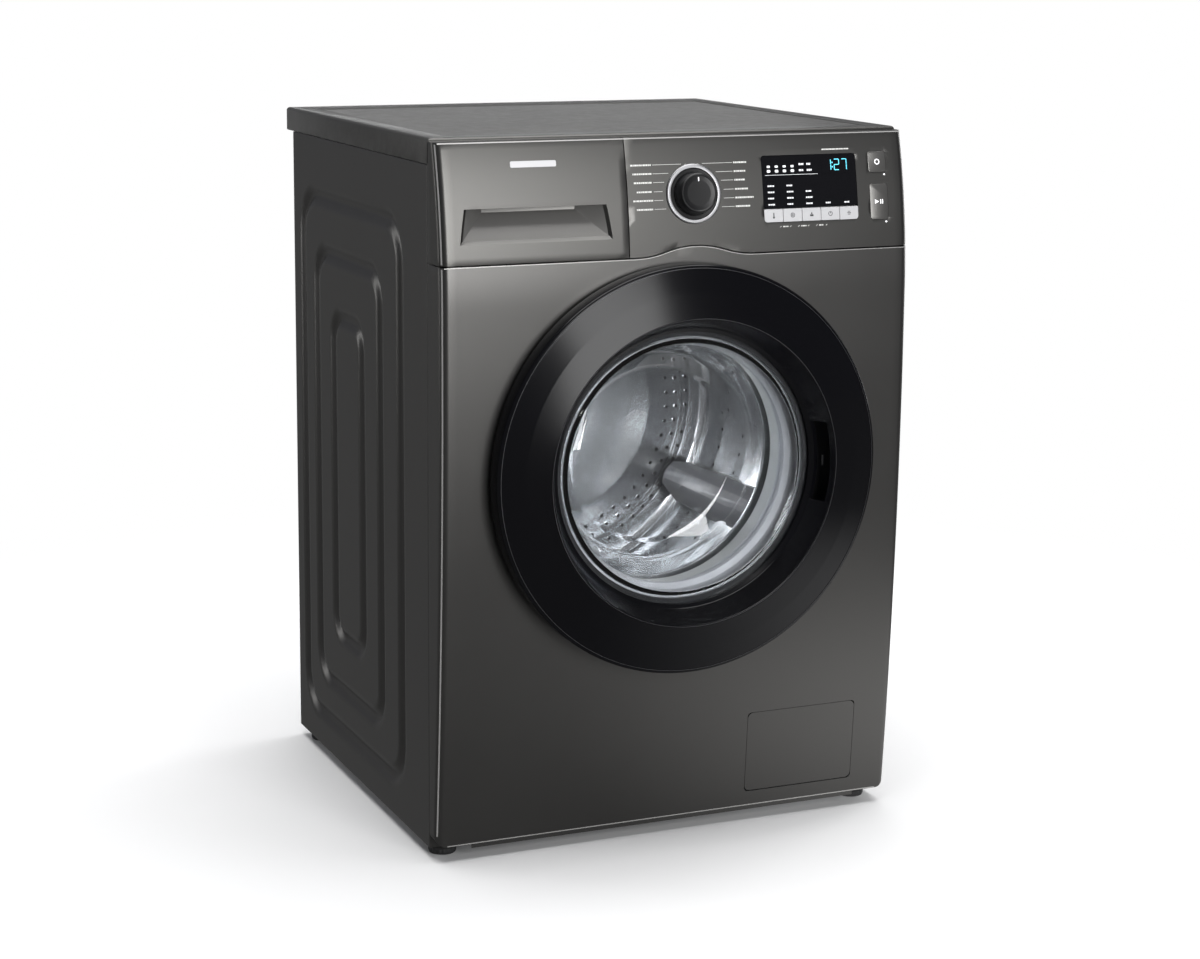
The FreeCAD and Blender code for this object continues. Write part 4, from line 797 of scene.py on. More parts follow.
@dataclass
class FrontPanel:
    """The painted front sheet with its loading port, filter flap and base lip."""

    sheet: float = 1.2 * MM
    bottom: float = 20 * MM
    corner: float = 14 * MM
    port_radius: float = 176 * MM
    flap_gap: float = 0.5 * MM
    flap_hinge_gap: float = 1.2 * MM
    edge_line: float = 1.3 * MM
    edge_turn: float = math.radians(50)

    def build(self) -> None:
        """Builds and dresses the panel, its port rim and the flap."""
        bm = FORM.sheet(-FORM.half, FORM.half, lambda x: self.bottom,
                        lambda x: FORM.seam_at(x, FORM.seam), 64)
        piece = Bench.release(bm, "front_panel_sheet")
        Bench.thicken(piece, self.sheet)
        Bench.settle(piece)
        y0, y1 = FORM.y_front - 20 * MM, FORM.y_back + 10 * MM
        flap_low, flap_high = low_high("filter_flap")
        gap = self.flap_gap
        cutters = [
            Bench.door_lathe([(0, y0), (self.port_radius, y0), (self.port_radius, y1), (0, y1)],
                             128, AXIS),
            Bench.front_plug(flap_low.x - gap, flap_high.x + gap, flap_low.z - self.flap_hinge_gap,
                             flap_high.z + gap, 5 * MM, y0, y1),
        ]
        lock_low, lock_high = low_high("latch_hook")
        cutters.append(Bench.front_plug(lock_low.x, lock_high.x + 1 * MM, AXIS - 14 * MM, AXIS + 14 * MM,
                                        2 * MM, y0, FORM.y_front + 20 * MM))
        hinge_high = low_high("hinge_bracket")[1]
        for sign in (-1, 1):
            cutters.append(Bench.front_plug(hinge_high.x - 11 * MM, hinge_high.x + 1 * MM,
                                            AXIS + sign * 16.5 * MM - 9 * MM,
                                            AXIS + sign * 16.5 * MM + 9 * MM, 1 * MM, y0,
                                            FORM.y_front + 20 * MM))
        Bench.cut(piece, cutters)
        self._round_corners(piece)
        Bench.ease(piece, 0.55 * MM, 2, 40)
        Bench.settle(piece)
        Bench.hand_over(piece, GRAPHITE, "cabinet", "cabinet_paint", ["front_panel"])
        self._port_rim()
        self._base_lip()
        self._flap(flap_low, flap_high)
        self._edge_highlights()

    def _round_corners(self, piece: bpy.types.Object) -> None:
        """Rounds the panel's two lower corners in the front view."""
        r = self.corner
        for sign in (-1, 1):
            outer = sign * (FORM.half + 1 * MM)
            inner = sign * (FORM.half - r)
            bm = bmesh.new()
            arc = [(inner + sign * r * math.sin(a), self.bottom + r - r * math.cos(a))
                   for a in (math.radians(d) for d in range(0, 91, 10))]
            outline = [(inner, self.bottom - 1 * MM)] + arc + [(outer, self.bottom + r),
                                                              (outer, self.bottom - 1 * MM)]
            verts = [bm.verts.new((x, FORM.y_front - 20 * MM, z)) for x, z in outline]
            bm.faces.new(verts)
            Bench.prism(bm, Vector((0, 80 * MM, 0)))
            Bench.cut(piece, [bm])

    def _port_rim(self) -> None:
        """Builds the rim turned inwards round the loading port."""
        y = FORM.y_front + self.sheet / 2
        r = self.port_radius
        profile = [(r + 2 * MM, y, 0.5 * MM), (r + 2 * MM, y + 15 * MM, 0.5 * MM),
                   (r, y + 15 * MM, 0.5 * MM), (r, y, 0.5 * MM)]
        piece = Bench.release(Bench.door_lathe(Bench.softened(profile), 128, AXIS), "loading_port_rim")
        Bench.hand_over(piece, GRAPHITE, "cabinet", "cabinet_paint")

    def _base_lip(self) -> None:
        """Builds the foot flange that closes the panel below, with its narrow lip."""
        low, _ = low_high("front_panel")
        half = FORM.half - 45 * MM
        y0 = FORM.y(self.bottom) + 1.5 * MM
        bm = bmesh.new()
        bmesh.ops.create_cube(bm, size=1.0)
        bmesh.ops.scale(bm, verts=bm.verts[:], vec=(2 * half, self.sheet, self.bottom - low.z + 1 * MM))
        bmesh.ops.translate(bm, verts=bm.verts[:],
                            vec=(0, y0 + self.sheet / 2, (low.z + self.bottom + 1 * MM) / 2))
        tray = bmesh.ops.create_cube(bm, size=1.0)["verts"]
        bmesh.ops.scale(bm, verts=tray,
                        vec=(2 * FORM.half - 30 * MM, FORM.y_back - y0 - 4 * MM, self.sheet))
        bmesh.ops.translate(bm, verts=tray, vec=(0, (FORM.y_back + y0) / 2, self.bottom + self.sheet))
        piece = Bench.release(bm, "front_panel_lip")
        Bench.ease(piece, 0.4 * MM)
        Bench.settle(piece)
        Bench.hand_over(piece, GRAPHITE, "cabinet", "cabinet_paint")

    def _edge_highlights(self) -> None:
        """Lays thin light strips along the seam, outer verticals, brow and foot: painted highlights for
        the light caught by the rounded edges.
        """
        w, half, seam, top = self.edge_line, FORM.half, FORM.seam, FASCIA_HIGH.z
        inset, foot = 4 * MM, self.bottom + self.corner
        # Each strip is a painted highlight along a seam or a rounded edge.
        strips = {
            "seam_highlight": (-half + inset, half - inset, lambda x: FORM.seam_at(x, seam) - 0.9 * w,
                          lambda x: FORM.seam_at(x, seam) - 0.35 * w, 1),
            "fascia_brow_highlight": (-half + inset, half - inset, lambda x: top - 1.3 * w,
                                 lambda x: top - 0.3 * w, 1),
            "front_foot_highlight": (-half + self.corner, half - self.corner, lambda x: self.bottom + 0.3 * w,
                                lambda x: self.bottom + 1.3 * w, 1),
        }
        for name, (x0, x1, low, high, rows) in strips.items():
            self._strip(name, FORM.sheet(x0, x1, low, high, rows))
        set_back = FORM.edge_radius * (1 - math.cos(self.edge_turn))
        for name, low_z, high_z in (("panel", foot, seam - 2 * MM),
                                    ("fascia", seam + 3 * MM, top - 2 * MM)):
            for side, sign in (("left", -1), ("right", 1)):
                x = sign * (half - FORM.edge_radius * (1 - math.sin(self.edge_turn)))
                bm = FORM.sheet(x - w / 2, x + w / 2, lambda _: low_z, lambda _: high_z, 48)
                for vert in bm.verts:
                    across = sign * (vert.co.x - x)
                    vert.co.y += set_back + across * math.tan(self.edge_turn)
                self._strip(f"{name}_{side}_edge", bm)

    @staticmethod
    def _strip(name: str, bm: bmesh.types.BMesh) -> None:
        """Dresses one painted highlight strip, lifted clear of the paint beneath."""
        bmesh.ops.translate(bm, verts=bm.verts[:], vec=(0, -0.15 * MM, 0))
        Bench.hand_over(Bench.release(bm, name), EDGE_LIGHT, "cabinet", "cabinet_paint")

    def _flap(self, low: Vector, high: Vector) -> None:
        """Builds the drain filter's flap, flush in the panel."""
        bm = Bench.rounded_outline(high.x - low.x, high.z - low.z, 7 * MM)
        place = Matrix.Translation(((low.x + high.x) / 2, 0, (low.z + high.z) / 2))
        bmesh.ops.transform(bm, matrix=place @ FORWARD, verts=bm.verts[:])
        FORM.on_surface(bm, -0.05 * MM)
        Bench.prism(bm, Vector((0, 2.5 * MM, 0)))
        piece = Bench.release(bm, "filter_flap_cover")
        Bench.ease(piece, 0.6 * MM, 3, 50)
        Bench.settle(piece)
        Bench.hand_over(piece, GRAPHITE, "flap", "cabinet_paint")


# ---------------------------------------------------------------- controls
class Marks:
    """Small printed or lit marks laid on the front's surface, gathered into one piece."""

    def __init__(self, proud: float = 0.12 * MM) -> None:
        """Starts with no marks."""
        self.bm = bmesh.new()
        self.proud = proud

    def _add(self, mark: bmesh.types.BMesh, place: Matrix) -> None:
        """Moves one flat XY outline into place on the surface and keeps it."""
        bmesh.ops.transform(mark, matrix=place @ FORWARD,
                            verts=mark.verts[:])
        FORM.on_surface(mark, self.proud)
        Bench.prism(mark, Vector((0, self.proud + 0.1 * MM, 0)))
        spare = bpy.data.meshes.new("mark")
        mark.to_mesh(spare)
        mark.free()
        self.bm.from_mesh(spare)
        bpy.data.meshes.remove(spare)

    def bar(self, x: float, z: float, width: float, height: float, radius: float = 0.0,
            turn: float = 0.0) -> None:
        """Adds a bar centred on x, z."""
        mark = Bench.rounded_outline(width, height, radius, 3)
        spin = Matrix.Translation((x, 0, z)) @ Matrix.Rotation(-turn, 4, "Y")
        self._add(mark, spin)

    def ring(self, x: float, z: float, radius: float, wall: float, gap: float = 0.0) -> None:
        """Adds a ring, open at the top when it has a gap in radians."""
        mark = bmesh.new()
        start = math.pi / 2 + gap / 2
        ends = [mark.verts.new((reach * math.cos(start), reach * math.sin(start), 0))
                for reach in (radius, radius - wall)]
        edge = mark.edges.new(ends)
        bmesh.ops.spin(mark, geom=ends + [edge], cent=(0, 0, 0), axis=(0, 0, 1), dvec=(0, 0, 0),
                       angle=FULL_TURN - gap, steps=20, use_merge=gap == 0)
        self._add(mark, Matrix.Translation((x, 0, z)))

    def triangle(self, x: float, z: float, size: float, turn: float = 0.0) -> None:
        """Adds a triangle that points right."""
        mark = bmesh.new()
        corners = [(-size / 2, -size / 2, 0), (size / 2, 0, 0), (-size / 2, size / 2, 0)]
        mark.faces.new([mark.verts.new(c) for c in corners])
        self._add(mark, Matrix.Translation((x, 0, z)) @ Matrix.Rotation(-turn, 4, "Y"))

    def words(self, x: float, z: float, width: float, height: float, seed: int) -> None:
        """Adds a line of small dashes where a label would be."""
        at = x - width / 2
        lengths = [2.6, 1.4, 3.2, 1.9, 2.2, 1.2, 2.9]
        i = seed
        while at < x + width / 2 - 1.0 * MM:
            dash = min(lengths[i % len(lengths)] * MM, x + width / 2 - at)
            self.bar(at + dash / 2, z, dash, height)
            at += dash + 0.55 * MM
            i += 1

    def done(self, name: str, finish: Finish, body: str, slot: str) -> bpy.types.Object:
        """Hands over the gathered marks as one piece."""
        return Bench.hand_over(Bench.release(self.bm, name), finish, body, slot)


@dataclass
class ControlPanel:
    """The fascia with its dial, display, keys and buttons, and the drawer front beside it."""

    wall: float = 3.0 * MM
    top_return: float = 15 * MM

    def build(self) -> None:
        """Builds and dresses every piece of the control panel."""
        self.fascia()
        self.drawer_front()
        self.buttons()
        self.labels()
        self.display()
        ProgramDial().build()

    def _shell(self, name: str, x0: float, x1: float, rows: int) -> bpy.types.Object:
        """Builds a stretch of the fascia with its top edge turned back."""
        top = FASCIA_HIGH.z
        bm = FORM.sheet(x0, x1, lambda x: FORM.seam_at(x, FASCIA_LOW.z), lambda x: top, rows)
        rim = [e for e in bm.edges if e.is_boundary and all(v.co.z > top - 1e-5 for v in e.verts)]
        turned = bmesh.ops.extrude_edge_only(bm, edges=rim)
        verts = [e for e in turned["geom"] if isinstance(e, bmesh.types.BMVert)]
        back = FORM.y(top) + self.top_return
        for vert in verts:
            vert.co.y = max(vert.co.y, back)
            vert.co.x = max(-FORM.half + 3 * MM, min(FORM.half - 3 * MM, vert.co.x))
        bmesh.ops.recalc_face_normals(bm, faces=bm.faces[:])
        if sum(face.normal.y for face in bm.faces) > 0:
            bmesh.ops.reverse_faces(bm, faces=bm.faces[:])
        piece = Bench.release(bm, name)
        Bench.thicken(piece, self.wall)
        Bench.settle(piece)
        return piece

    def fascia(self) -> None:
        """Builds the fascia with its openings."""
        piece = self._shell("fascia_shell", FASCIA_LOW.x, FORM.half, 16)
        y0, y1 = FORM.y_front - 20 * MM, FORM.y_back + 5 * MM
        window_low, window_high = low_high("display_window")
        key_low = low_high("option_button_1")[0]
        gap = 0.3 * MM
        cutters = [Bench.front_plug(window_low.x - gap, window_high.x + gap, key_low.z - 0.5 * MM,
                                    window_high.z + gap, 4 * MM, y0, y1)]
        for node in ("power_button", "start_button"):
            low, high = low_high(node)
            cutters.append(Bench.front_plug(low.x - gap, high.x + gap, low.z - gap, high.z + gap,
                                            3.3 * MM, y0, y1))
        Bench.cut(piece, cutters)
        Bench.ease(piece, 0.8 * MM, 3, 40)
        Bench.settle(piece)
        Bench.hand_over(piece, FASCIA, "cabinet", "fascia_paint", ["control_fascia"])

    def drawer_front(self) -> None:
        """Builds the detergent drawer's front with its finger pull."""
        low, high = low_high("drawer_front")
        piece = self._shell("drawer_front_shell", -FORM.half, high.x, 16)
        x0, x1 = low.x + 24 * MM, high.x - 19.8 * MM
        z0, z1 = FORM.seam + 24 * MM, FORM.seam + 64 * MM
        Bench.cut(piece, [self._pull_wedge(x0, x1, z0, z1, 0.0)])
        Bench.ease(piece, 0.8 * MM, 3, 40)
        Bench.settle(piece)
        Bench.hand_over(piece, FASCIA, "drawer", "fascia_paint", ["drawer_front"])
        # The pull's lining is in the fascia paint's slot, but lighter: painted light in the recess.
        pocket = Bench.release(self._pull_wedge(x0, x1, z0, z1, 0.05 * MM), "drawer_finger_pull")
        self._open_mouth(pocket, z0)
        Bench.hand_over(pocket, PULL_LIT_PAINT, "drawer", "fascia_paint")

    @staticmethod
    def _pull_wedge(x0: float, x1: float, z0: float, z1: float, grow: float) -> bmesh.types.BMesh:
        """Makes the finger pull's hollow: a deep upper edge with ramped ends and floor."""
        depth, ramp = 24 * MM, 36 * MM
        mouth = FORM.y(z0) - 6 * MM
        back = FORM.y(z1) + depth + grow
        bm = bmesh.new()
        x0, x1, z0, z1 = x0 - grow, x1 + grow, z0 - grow, z1 + grow
        rings = []
        for y, inset, low in ((mouth, 0.0, z0), (FORM.y(z0), 0.0, z0), (back, ramp, z1 - 7 * MM)):
            left, right = x0 + inset, x1 - inset
            corners = [(left, y, low), (right, y, low), (right, y, z1), (left, y, z1)]
            rings.append([bm.verts.new(c) for c in corners])
        bm.faces.new(rings[0])
        bm.faces.new(rings[-1])
        for first, second in zip(rings, rings[1:]):
            for i in range(4):
                j = (i + 1) % 4
                bm.faces.new((first[i], first[j], second[j], second[i]))
        bmesh.ops.recalc_face_normals(bm, faces=bm.faces[:])
        return bm

    @staticmethod
    def _open_mouth(pocket: bpy.types.Object, z0: float) -> None:
        """Opens the pocket's mouth at the surface and gives it a wall outwards."""
        bm = bmesh.new()
        bm.from_mesh(pocket.data)
        lean = FORM.lean((z0 + FORM.seam + 64 * MM) / 2)
        face_point = Vector((0, FORM.y(z0) + 0.9 * MM, z0))
        normal = Vector((0, -math.cos(lean), math.sin(lean)))
        bmesh.ops.bisect_plane(bm, geom=bm.verts[:] + bm.edges[:] + bm.faces[:], plane_co=face_point,
                               plane_no=normal, clear_outer=True)
        bmesh.ops.reverse_faces(bm, faces=bm.faces[:])
        bm.to_mesh(pocket.data)
        bm.free()
        wall = pocket.modifiers.new("wall", "SOLIDIFY")
        wall.thickness = 1.6 * MM
        wall.offset = -1.0
        Bench.ease(pocket, 0.5 * MM, 2, 25)
        Bench.settle(pocket)

    def buttons(self) -> None:
        """Builds the two big buttons and the five option keys."""
        for node in ("power_button", "start_button"):
            piece = Bench.refined(node, node + "_cap", 0.45 * MM, 3)
            Bench.hand_over(piece, BUTTON_GREY, node.split("_")[0], "button_plastic", [node], 20)
        for i in range(1, 6):
            node = f"option_button_{i}"
            piece = Bench.refined(node, node + "_cap", 0.35 * MM, 2)
            Bench.hand_over(piece, KEY_SILVER, f"option_{i}", "key_silver", [node], 20)
        self._button_marks()

    def _button_marks(self) -> None:
        """Marks each button with its symbol and sets a small lamp beside two of them."""
        proud = 0.72 * MM
        low, high = low_high("power_button")
        mark = Marks(proud)
        mark.ring((low.x + high.x) / 2, (low.z + high.z) / 2, 3.4 * MM, 1.1 * MM)
        mark.done("power_symbol", LAMP_WHITE, "power", "button_plastic")
        low, high = low_high("start_button")
        x, z = (low.x + high.x) / 2, (low.z + high.z) / 2
        mark = Marks(proud)
        mark.triangle(x - 3.0 * MM, z, 5.2 * MM)
        for side in (0, 1):
            mark.bar(x + (2.0 + 2.6 * side) * MM, z, 1.2 * MM, 5.2 * MM)
        mark.done("start_symbol", LAMP_WHITE, "start", "button_plastic")
        for i in range(1, 6):
            low, high = low_high(f"option_button_{i}")
            self._key_symbol(i, (low.x + high.x) / 2, (low.z + high.z) / 2, proud)
        lamps = Marks(0.3 * MM)
        for node in ("power_button", "start_button"):
            low, high = low_high(node)
            lamps.bar(high.x - 3 * MM, low.z - 3.2 * MM, 2.2 * MM, 2.2 * MM, 1.05 * MM)
        lamps.done("button_lamps", LAMP_WHITE, "cabinet", "button_plastic")

    @staticmethod
    def _key_symbol(i: int, x: float, z: float, proud: float) -> None:
        """Puts a small symbol on one option key."""
        mark = Marks(proud)
        if i == 1:
            mark.bar(x, z + 0.8 * MM, 1.3 * MM, 5.0 * MM, 0.6 * MM)
            mark.bar(x, z - 2.0 * MM, 2.6 * MM, 2.6 * MM, 1.2 * MM)
        elif i == 2:
            mark.ring(x, z, 2.8 * MM, 0.7 * MM)
            mark.ring(x, z, 1.3 * MM, 0.6 * MM)
        elif i == 3:
            mark.bar(x, z - 1.2 * MM, 4.6 * MM, 2.2 * MM, 0.5 * MM)
            mark.triangle(x, z + 1.6 * MM, 2.4 * MM, math.pi / 2)
        elif i == 4:
            mark.ring(x, z, 2.8 * MM, 0.7 * MM, 0.9)
            mark.bar(x, z + 1.6 * MM, 0.7 * MM, 2.6 * MM)
        else:
            mark.bar(x, z, 4.8 * MM, 0.8 * MM)
            mark.bar(x, z + 1.7 * MM, 3.2 * MM, 0.8 * MM)
            mark.bar(x, z - 1.7 * MM, 3.2 * MM, 0.8 * MM)
        mark.done(f"option_symbol_{i}", ICON_DARK, f"option_{i}", "key_silver")

    def labels(self) -> None:
        """Prints the nameplate bar, the programme lines round the dial and the small notes."""
        low, high = low_high("dial_bezel")
        x, z = (low.x + high.x) / 2, (low.z + high.z) / 2
        mark = Marks()
        rows = [37.0, 27.0, 17.0, 6.5, -3.5, -13.5]
        for i, rise in enumerate(rows):
            level = z + rise * MM - 2.5 * MM
            for side in (-1, 1):
                self._label_line(mark, x, z, level, side, i)
        mark.done("programme_marks", GLOWING_PRINT, "cabinet", "fascia_paint")
        notes = Marks()
        window_low, window_high = low_high("display_window")
        key_low = low_high("option_button_1")[0]
        notes.words(window_high.x - 26 * MM, window_high.z + 5.5 * MM, 36 * MM, 1.5 * MM, 2)
        for i in range(3):
            at = window_low.x + (28 + 24 * i) * MM
            notes.words(at, key_low.z - 5.5 * MM, 7 * MM, 1.4 * MM, i)
            for side in (-6.5, 6.5):
                notes.bar(at + side * MM, key_low.z - 5.5 * MM, 2.4 * MM, 0.5 * MM, 0, 0.6)
        notes.done("fascia_notes", GLOWING_PRINT, "cabinet", "fascia_paint")
        plate = Marks(0.5 * MM)
        drawer_low, drawer_high = low_high("drawer_front")
        plate.bar((drawer_low.x + drawer_high.x) / 2 + 2 * MM, FORM.seam + 112 * MM, 56 * MM, 7.0 * MM,
                  1.5 * MM)
        plate.done("blank_nameplate", KEY_SILVER, "drawer", "key_silver")

    @staticmethod
    def _label_line(mark: Marks, x: float, z: float, level: float, side: int, row: int) -> None:
        """Prints one programme's dashes and the leader line that runs to the dial."""
        reach = 90 * MM
        ring = 38 * MM
        rise = level - z
        near = math.sqrt(max(ring ** 2 - rise ** 2, (8 * MM) ** 2))
        far = 54 * MM if side > 0 else 52 * MM
        if row == 0:
            near = 12 * MM
        line = far - near - 3 * MM
        if line > 0:
            mark.bar(x + side * (near + 1.5 * MM + line / 2), level, line, 0.45 * MM)
        widths = [26, 24, 23, 20, 25, 21] if side < 0 else [17, 15, 14, 17, 25, 20]
        width = widths[row] * MM
        centre = x + side * (far + width / 2)
        if side > 0:
            centre = x + min(far + width / 2, reach - width / 2)
        mark.words(centre, level, width, 1.9 * MM, row + (3 if side > 0 else 0))
        if row == 0:
            mark.bar(x + side * 9.5 * MM, level - 2.6 * MM, 0.45 * MM, 6.5 * MM, 0, side * 0.55)

    def display(self) -> None:
        """Builds the display window with its lit time, icons and option lights."""
        piece = Bench.refined("display_window", "display_glass", 0.3 * MM, 2)
        Bench.hand_over(piece, DISPLAY_BLACK, "cabinet", "display_black", ["display_window"], 20)
        low, high = low_high("display_window")
        self._time(low, high)
        icons = Marks(0.1 * MM)
        width = high.x - low.x
        row = high.z - 15 * MM
        for i in range(4):
            x = low.x + (9 + 10.5 * i) * MM
            icons.bar(x, row + 2.2 * MM, 4.2 * MM, 2.6 * MM, 0.8 * MM)
            icons.bar(x, row - 3.0 * MM, 4.6 * MM, 3.2 * MM, 1.2 * MM)
        for i in range(4):
            x = low.x + (52.5 + 10.5 * (i % 2)) * MM
            icons.words(x, row + (4.2 - 7.0 * (i // 2)) * MM, 6.5 * MM, 2.2 * MM, i)
        icons.bar(low.x + 0.31 * width, row - 7.6 * MM, 0.56 * width, 0.4 * MM)
        self._option_lights(icons, low, high)
        icons.done("display_icons", ICON_WHITE, "cabinet", "display_black")

    @staticmethod
    def _option_lights(icons: Marks, low: Vector, high: Vector) -> None:
        """Adds the columns of option lights above the keys."""
        pitch = (high.x - low.x) / 5
        for column, count in enumerate((4, 4, 3, 1, 1)):
            for k in range(count):
                x = low.x + pitch * (column + 0.42)
                z = low.z + (4.2 + 7.2 * k) * MM
                icons.words(x, z, 8.5 * MM if column < 3 else 6.5 * MM, 1.7 * MM, column + k)

    @staticmethod
    def _time(low: Vector, high: Vector) -> None:
        """Lights the remaining time in seven-segment figures, in a framed corner."""
        centre_x, centre_z = high.x - 27 * MM, high.z - 12.5 * MM
        edge = Marks(0.08 * MM)
        box_w, box_h = 37 * MM, 21 * MM
        for sign in (-1, 1):
            edge.bar(centre_x + sign * box_w / 2, centre_z, 0.5 * MM, box_h)
            edge.bar(centre_x, centre_z + sign * box_h / 2, box_w, 0.5 * MM)
        edge.done("display_time_frame", DISPLAY_BLACK, "cabinet", "display_black")
        figures = {"1": "bc", "2": "abged", "7": "abc"}
        digits = Marks(0.1 * MM)
        w, h, bar = 6.4 * MM, 12.5 * MM, 1.4 * MM
        segments = {"a": (0, h / 2, w, bar), "d": (0, -h / 2, w, bar), "g": (0, 0, w, bar),
                    "b": (w / 2, h / 4, bar, h / 2), "c": (w / 2, -h / 4, bar, h / 2),
                    "e": (-w / 2, -h / 4, bar, h / 2), "f": (-w / 2, h / 4, bar, h / 2)}
        for figure, at in (("1", -9.5 * MM), ("2", 1.5 * MM), ("7", 11.5 * MM)):
            for name in figures[figure]:
                dx, dz, sx, sz = segments[name]
                digits.bar(centre_x + at + dx, centre_z + dz, sx - 0.5 * MM, sz - 0.5 * MM, 0.3 * MM)
        for sign in (-1, 1):
            digits.bar(centre_x - 4.3 * MM, centre_z + sign * 2.6 * MM, 1.5 * MM, 1.5 * MM, 0.4 * MM)
        digits.done("display_time", DIGIT_CYAN, "cabinet", "display_black")


@dataclass
class ProgramDial:
    """The programme dial: a notched silver ring and a black knob with a silver foot."""

    base_radius: float = 35 * MM
    base_height: float = 2.5 * MM
    knob_radius: float = 24 * MM
    knob_height: float = 14 * MM
    steps: int = 240
    below_seam: float = 72 * MM
    notch: float = 0.35 * MM

    def placement(self) -> Matrix:
        """Returns the matrix that stands a lathed shape on the fascia."""
        low, high = low_high("dial_bezel")
        x = (low.x + high.x) / 2
        z = FORM.seam + self.below_seam
        return (Matrix.Translation((x, FORM.y(z), z))
                @ Matrix.Rotation(math.pi / 2 - FORM.lean(z), 4, "X"))

    def build(self) -> None:
        """Builds the ring, the knob and its pointer."""
        self._ring()
        self._knob()

    def _ring(self) -> None:
        """Builds the fixed ring with fine notches round its rim."""
        r, h = self.base_radius, self.base_height
        profile = [(4.2 * MM, -1.4 * MM, 0), (r, -1.4 * MM, 0), (r, h - 0.6 * MM, 0.5 * MM),
                   (r - 1.4 * MM, h, 0.4 * MM), (r - 4.6 * MM, h, 0.4 * MM),
                   (r - 5.4 * MM, h - 0.9 * MM, 0.3 * MM), (4.2 * MM, h - 1.1 * MM, 0)]
        bm = Bench.lathe(Bench.softened(profile, 3), self.steps)
        for vert in bm.verts:
            reach = math.hypot(vert.co.x, vert.co.y)
            turn = round(math.atan2(vert.co.y, vert.co.x) / FULL_TURN * self.steps)
            if reach > r - 2.2 * MM and turn % 4 == 0:
                vert.co.xy = vert.co.xy * ((reach - self.notch) / reach)
        for face in bm.faces:
            middle = face.calc_center_median()
            face.material_index = 0 if math.hypot(middle.x, middle.y) > r - 5.0 * MM else 1
        bmesh.ops.transform(bm, matrix=self.placement(), verts=bm.verts[:])
        piece = Bench.release(bm, "dial_ring")
        Bench.hand_over(piece, [CHROME, KNOB_BLACK], "cabinet", "chrome_ring", ["dial_bezel"], 25)

    def _knob(self) -> None:
        """Builds the knob: black conical skirt, crisp rim and dished cap on a silver foot."""
        r, base = self.knob_radius, self.base_height + 0.4 * MM
        top = base + self.knob_height
        profile = [(0, base, 0), (r + 1.3 * MM, base, 0.3 * MM),
                   (r + 1.5 * MM, base + 1.0 * MM, 0.4 * MM),
                   (r - 1.0 * MM, top - 0.8 * MM, 0.6 * MM), (r - 2.2 * MM, top, 0.4 * MM),
                   (r - 3.2 * MM, top, 0.3 * MM), (r - 4.0 * MM, top - 0.7 * MM, 0.4 * MM),
                   (r - 9 * MM, top - 1.2 * MM, 6 * MM), (0, top - 1.4 * MM, 0)]
        bm = Bench.lathe(Bench.softened(profile, 4, closed=False), 96, closed=False)
        for face in bm.faces:
            middle = face.calc_center_median()
            foot = base + 0.1 * MM < middle.z < base + 1.1 * MM
            face.material_index = 0 if foot and math.hypot(middle.x, middle.y) > r else 1
        bmesh.ops.transform(bm, matrix=self.placement(), verts=bm.verts[:])
        piece = Bench.release(bm, "program_dial_knob")
        Bench.hand_over(piece, [CHROME, KNOB_BLACK], "dial", "dial_black", ["program_dial"], 25)
        bm = Bench.rounded_outline(1.1 * MM, 5 * MM, 0.5 * MM, 3)
        Bench.prism(bm, Vector((0, 0, 0.5 * MM)))
        bmesh.ops.translate(bm, verts=bm.verts[:], vec=(0, r - 8 * MM, top - 1.3 * MM))
        bmesh.ops.transform(bm, matrix=self.placement(), verts=bm.verts[:])
        Bench.hand_over(Bench.release(bm, "dial_pointer"), LAMP_WHITE, "dial", "dial_black")


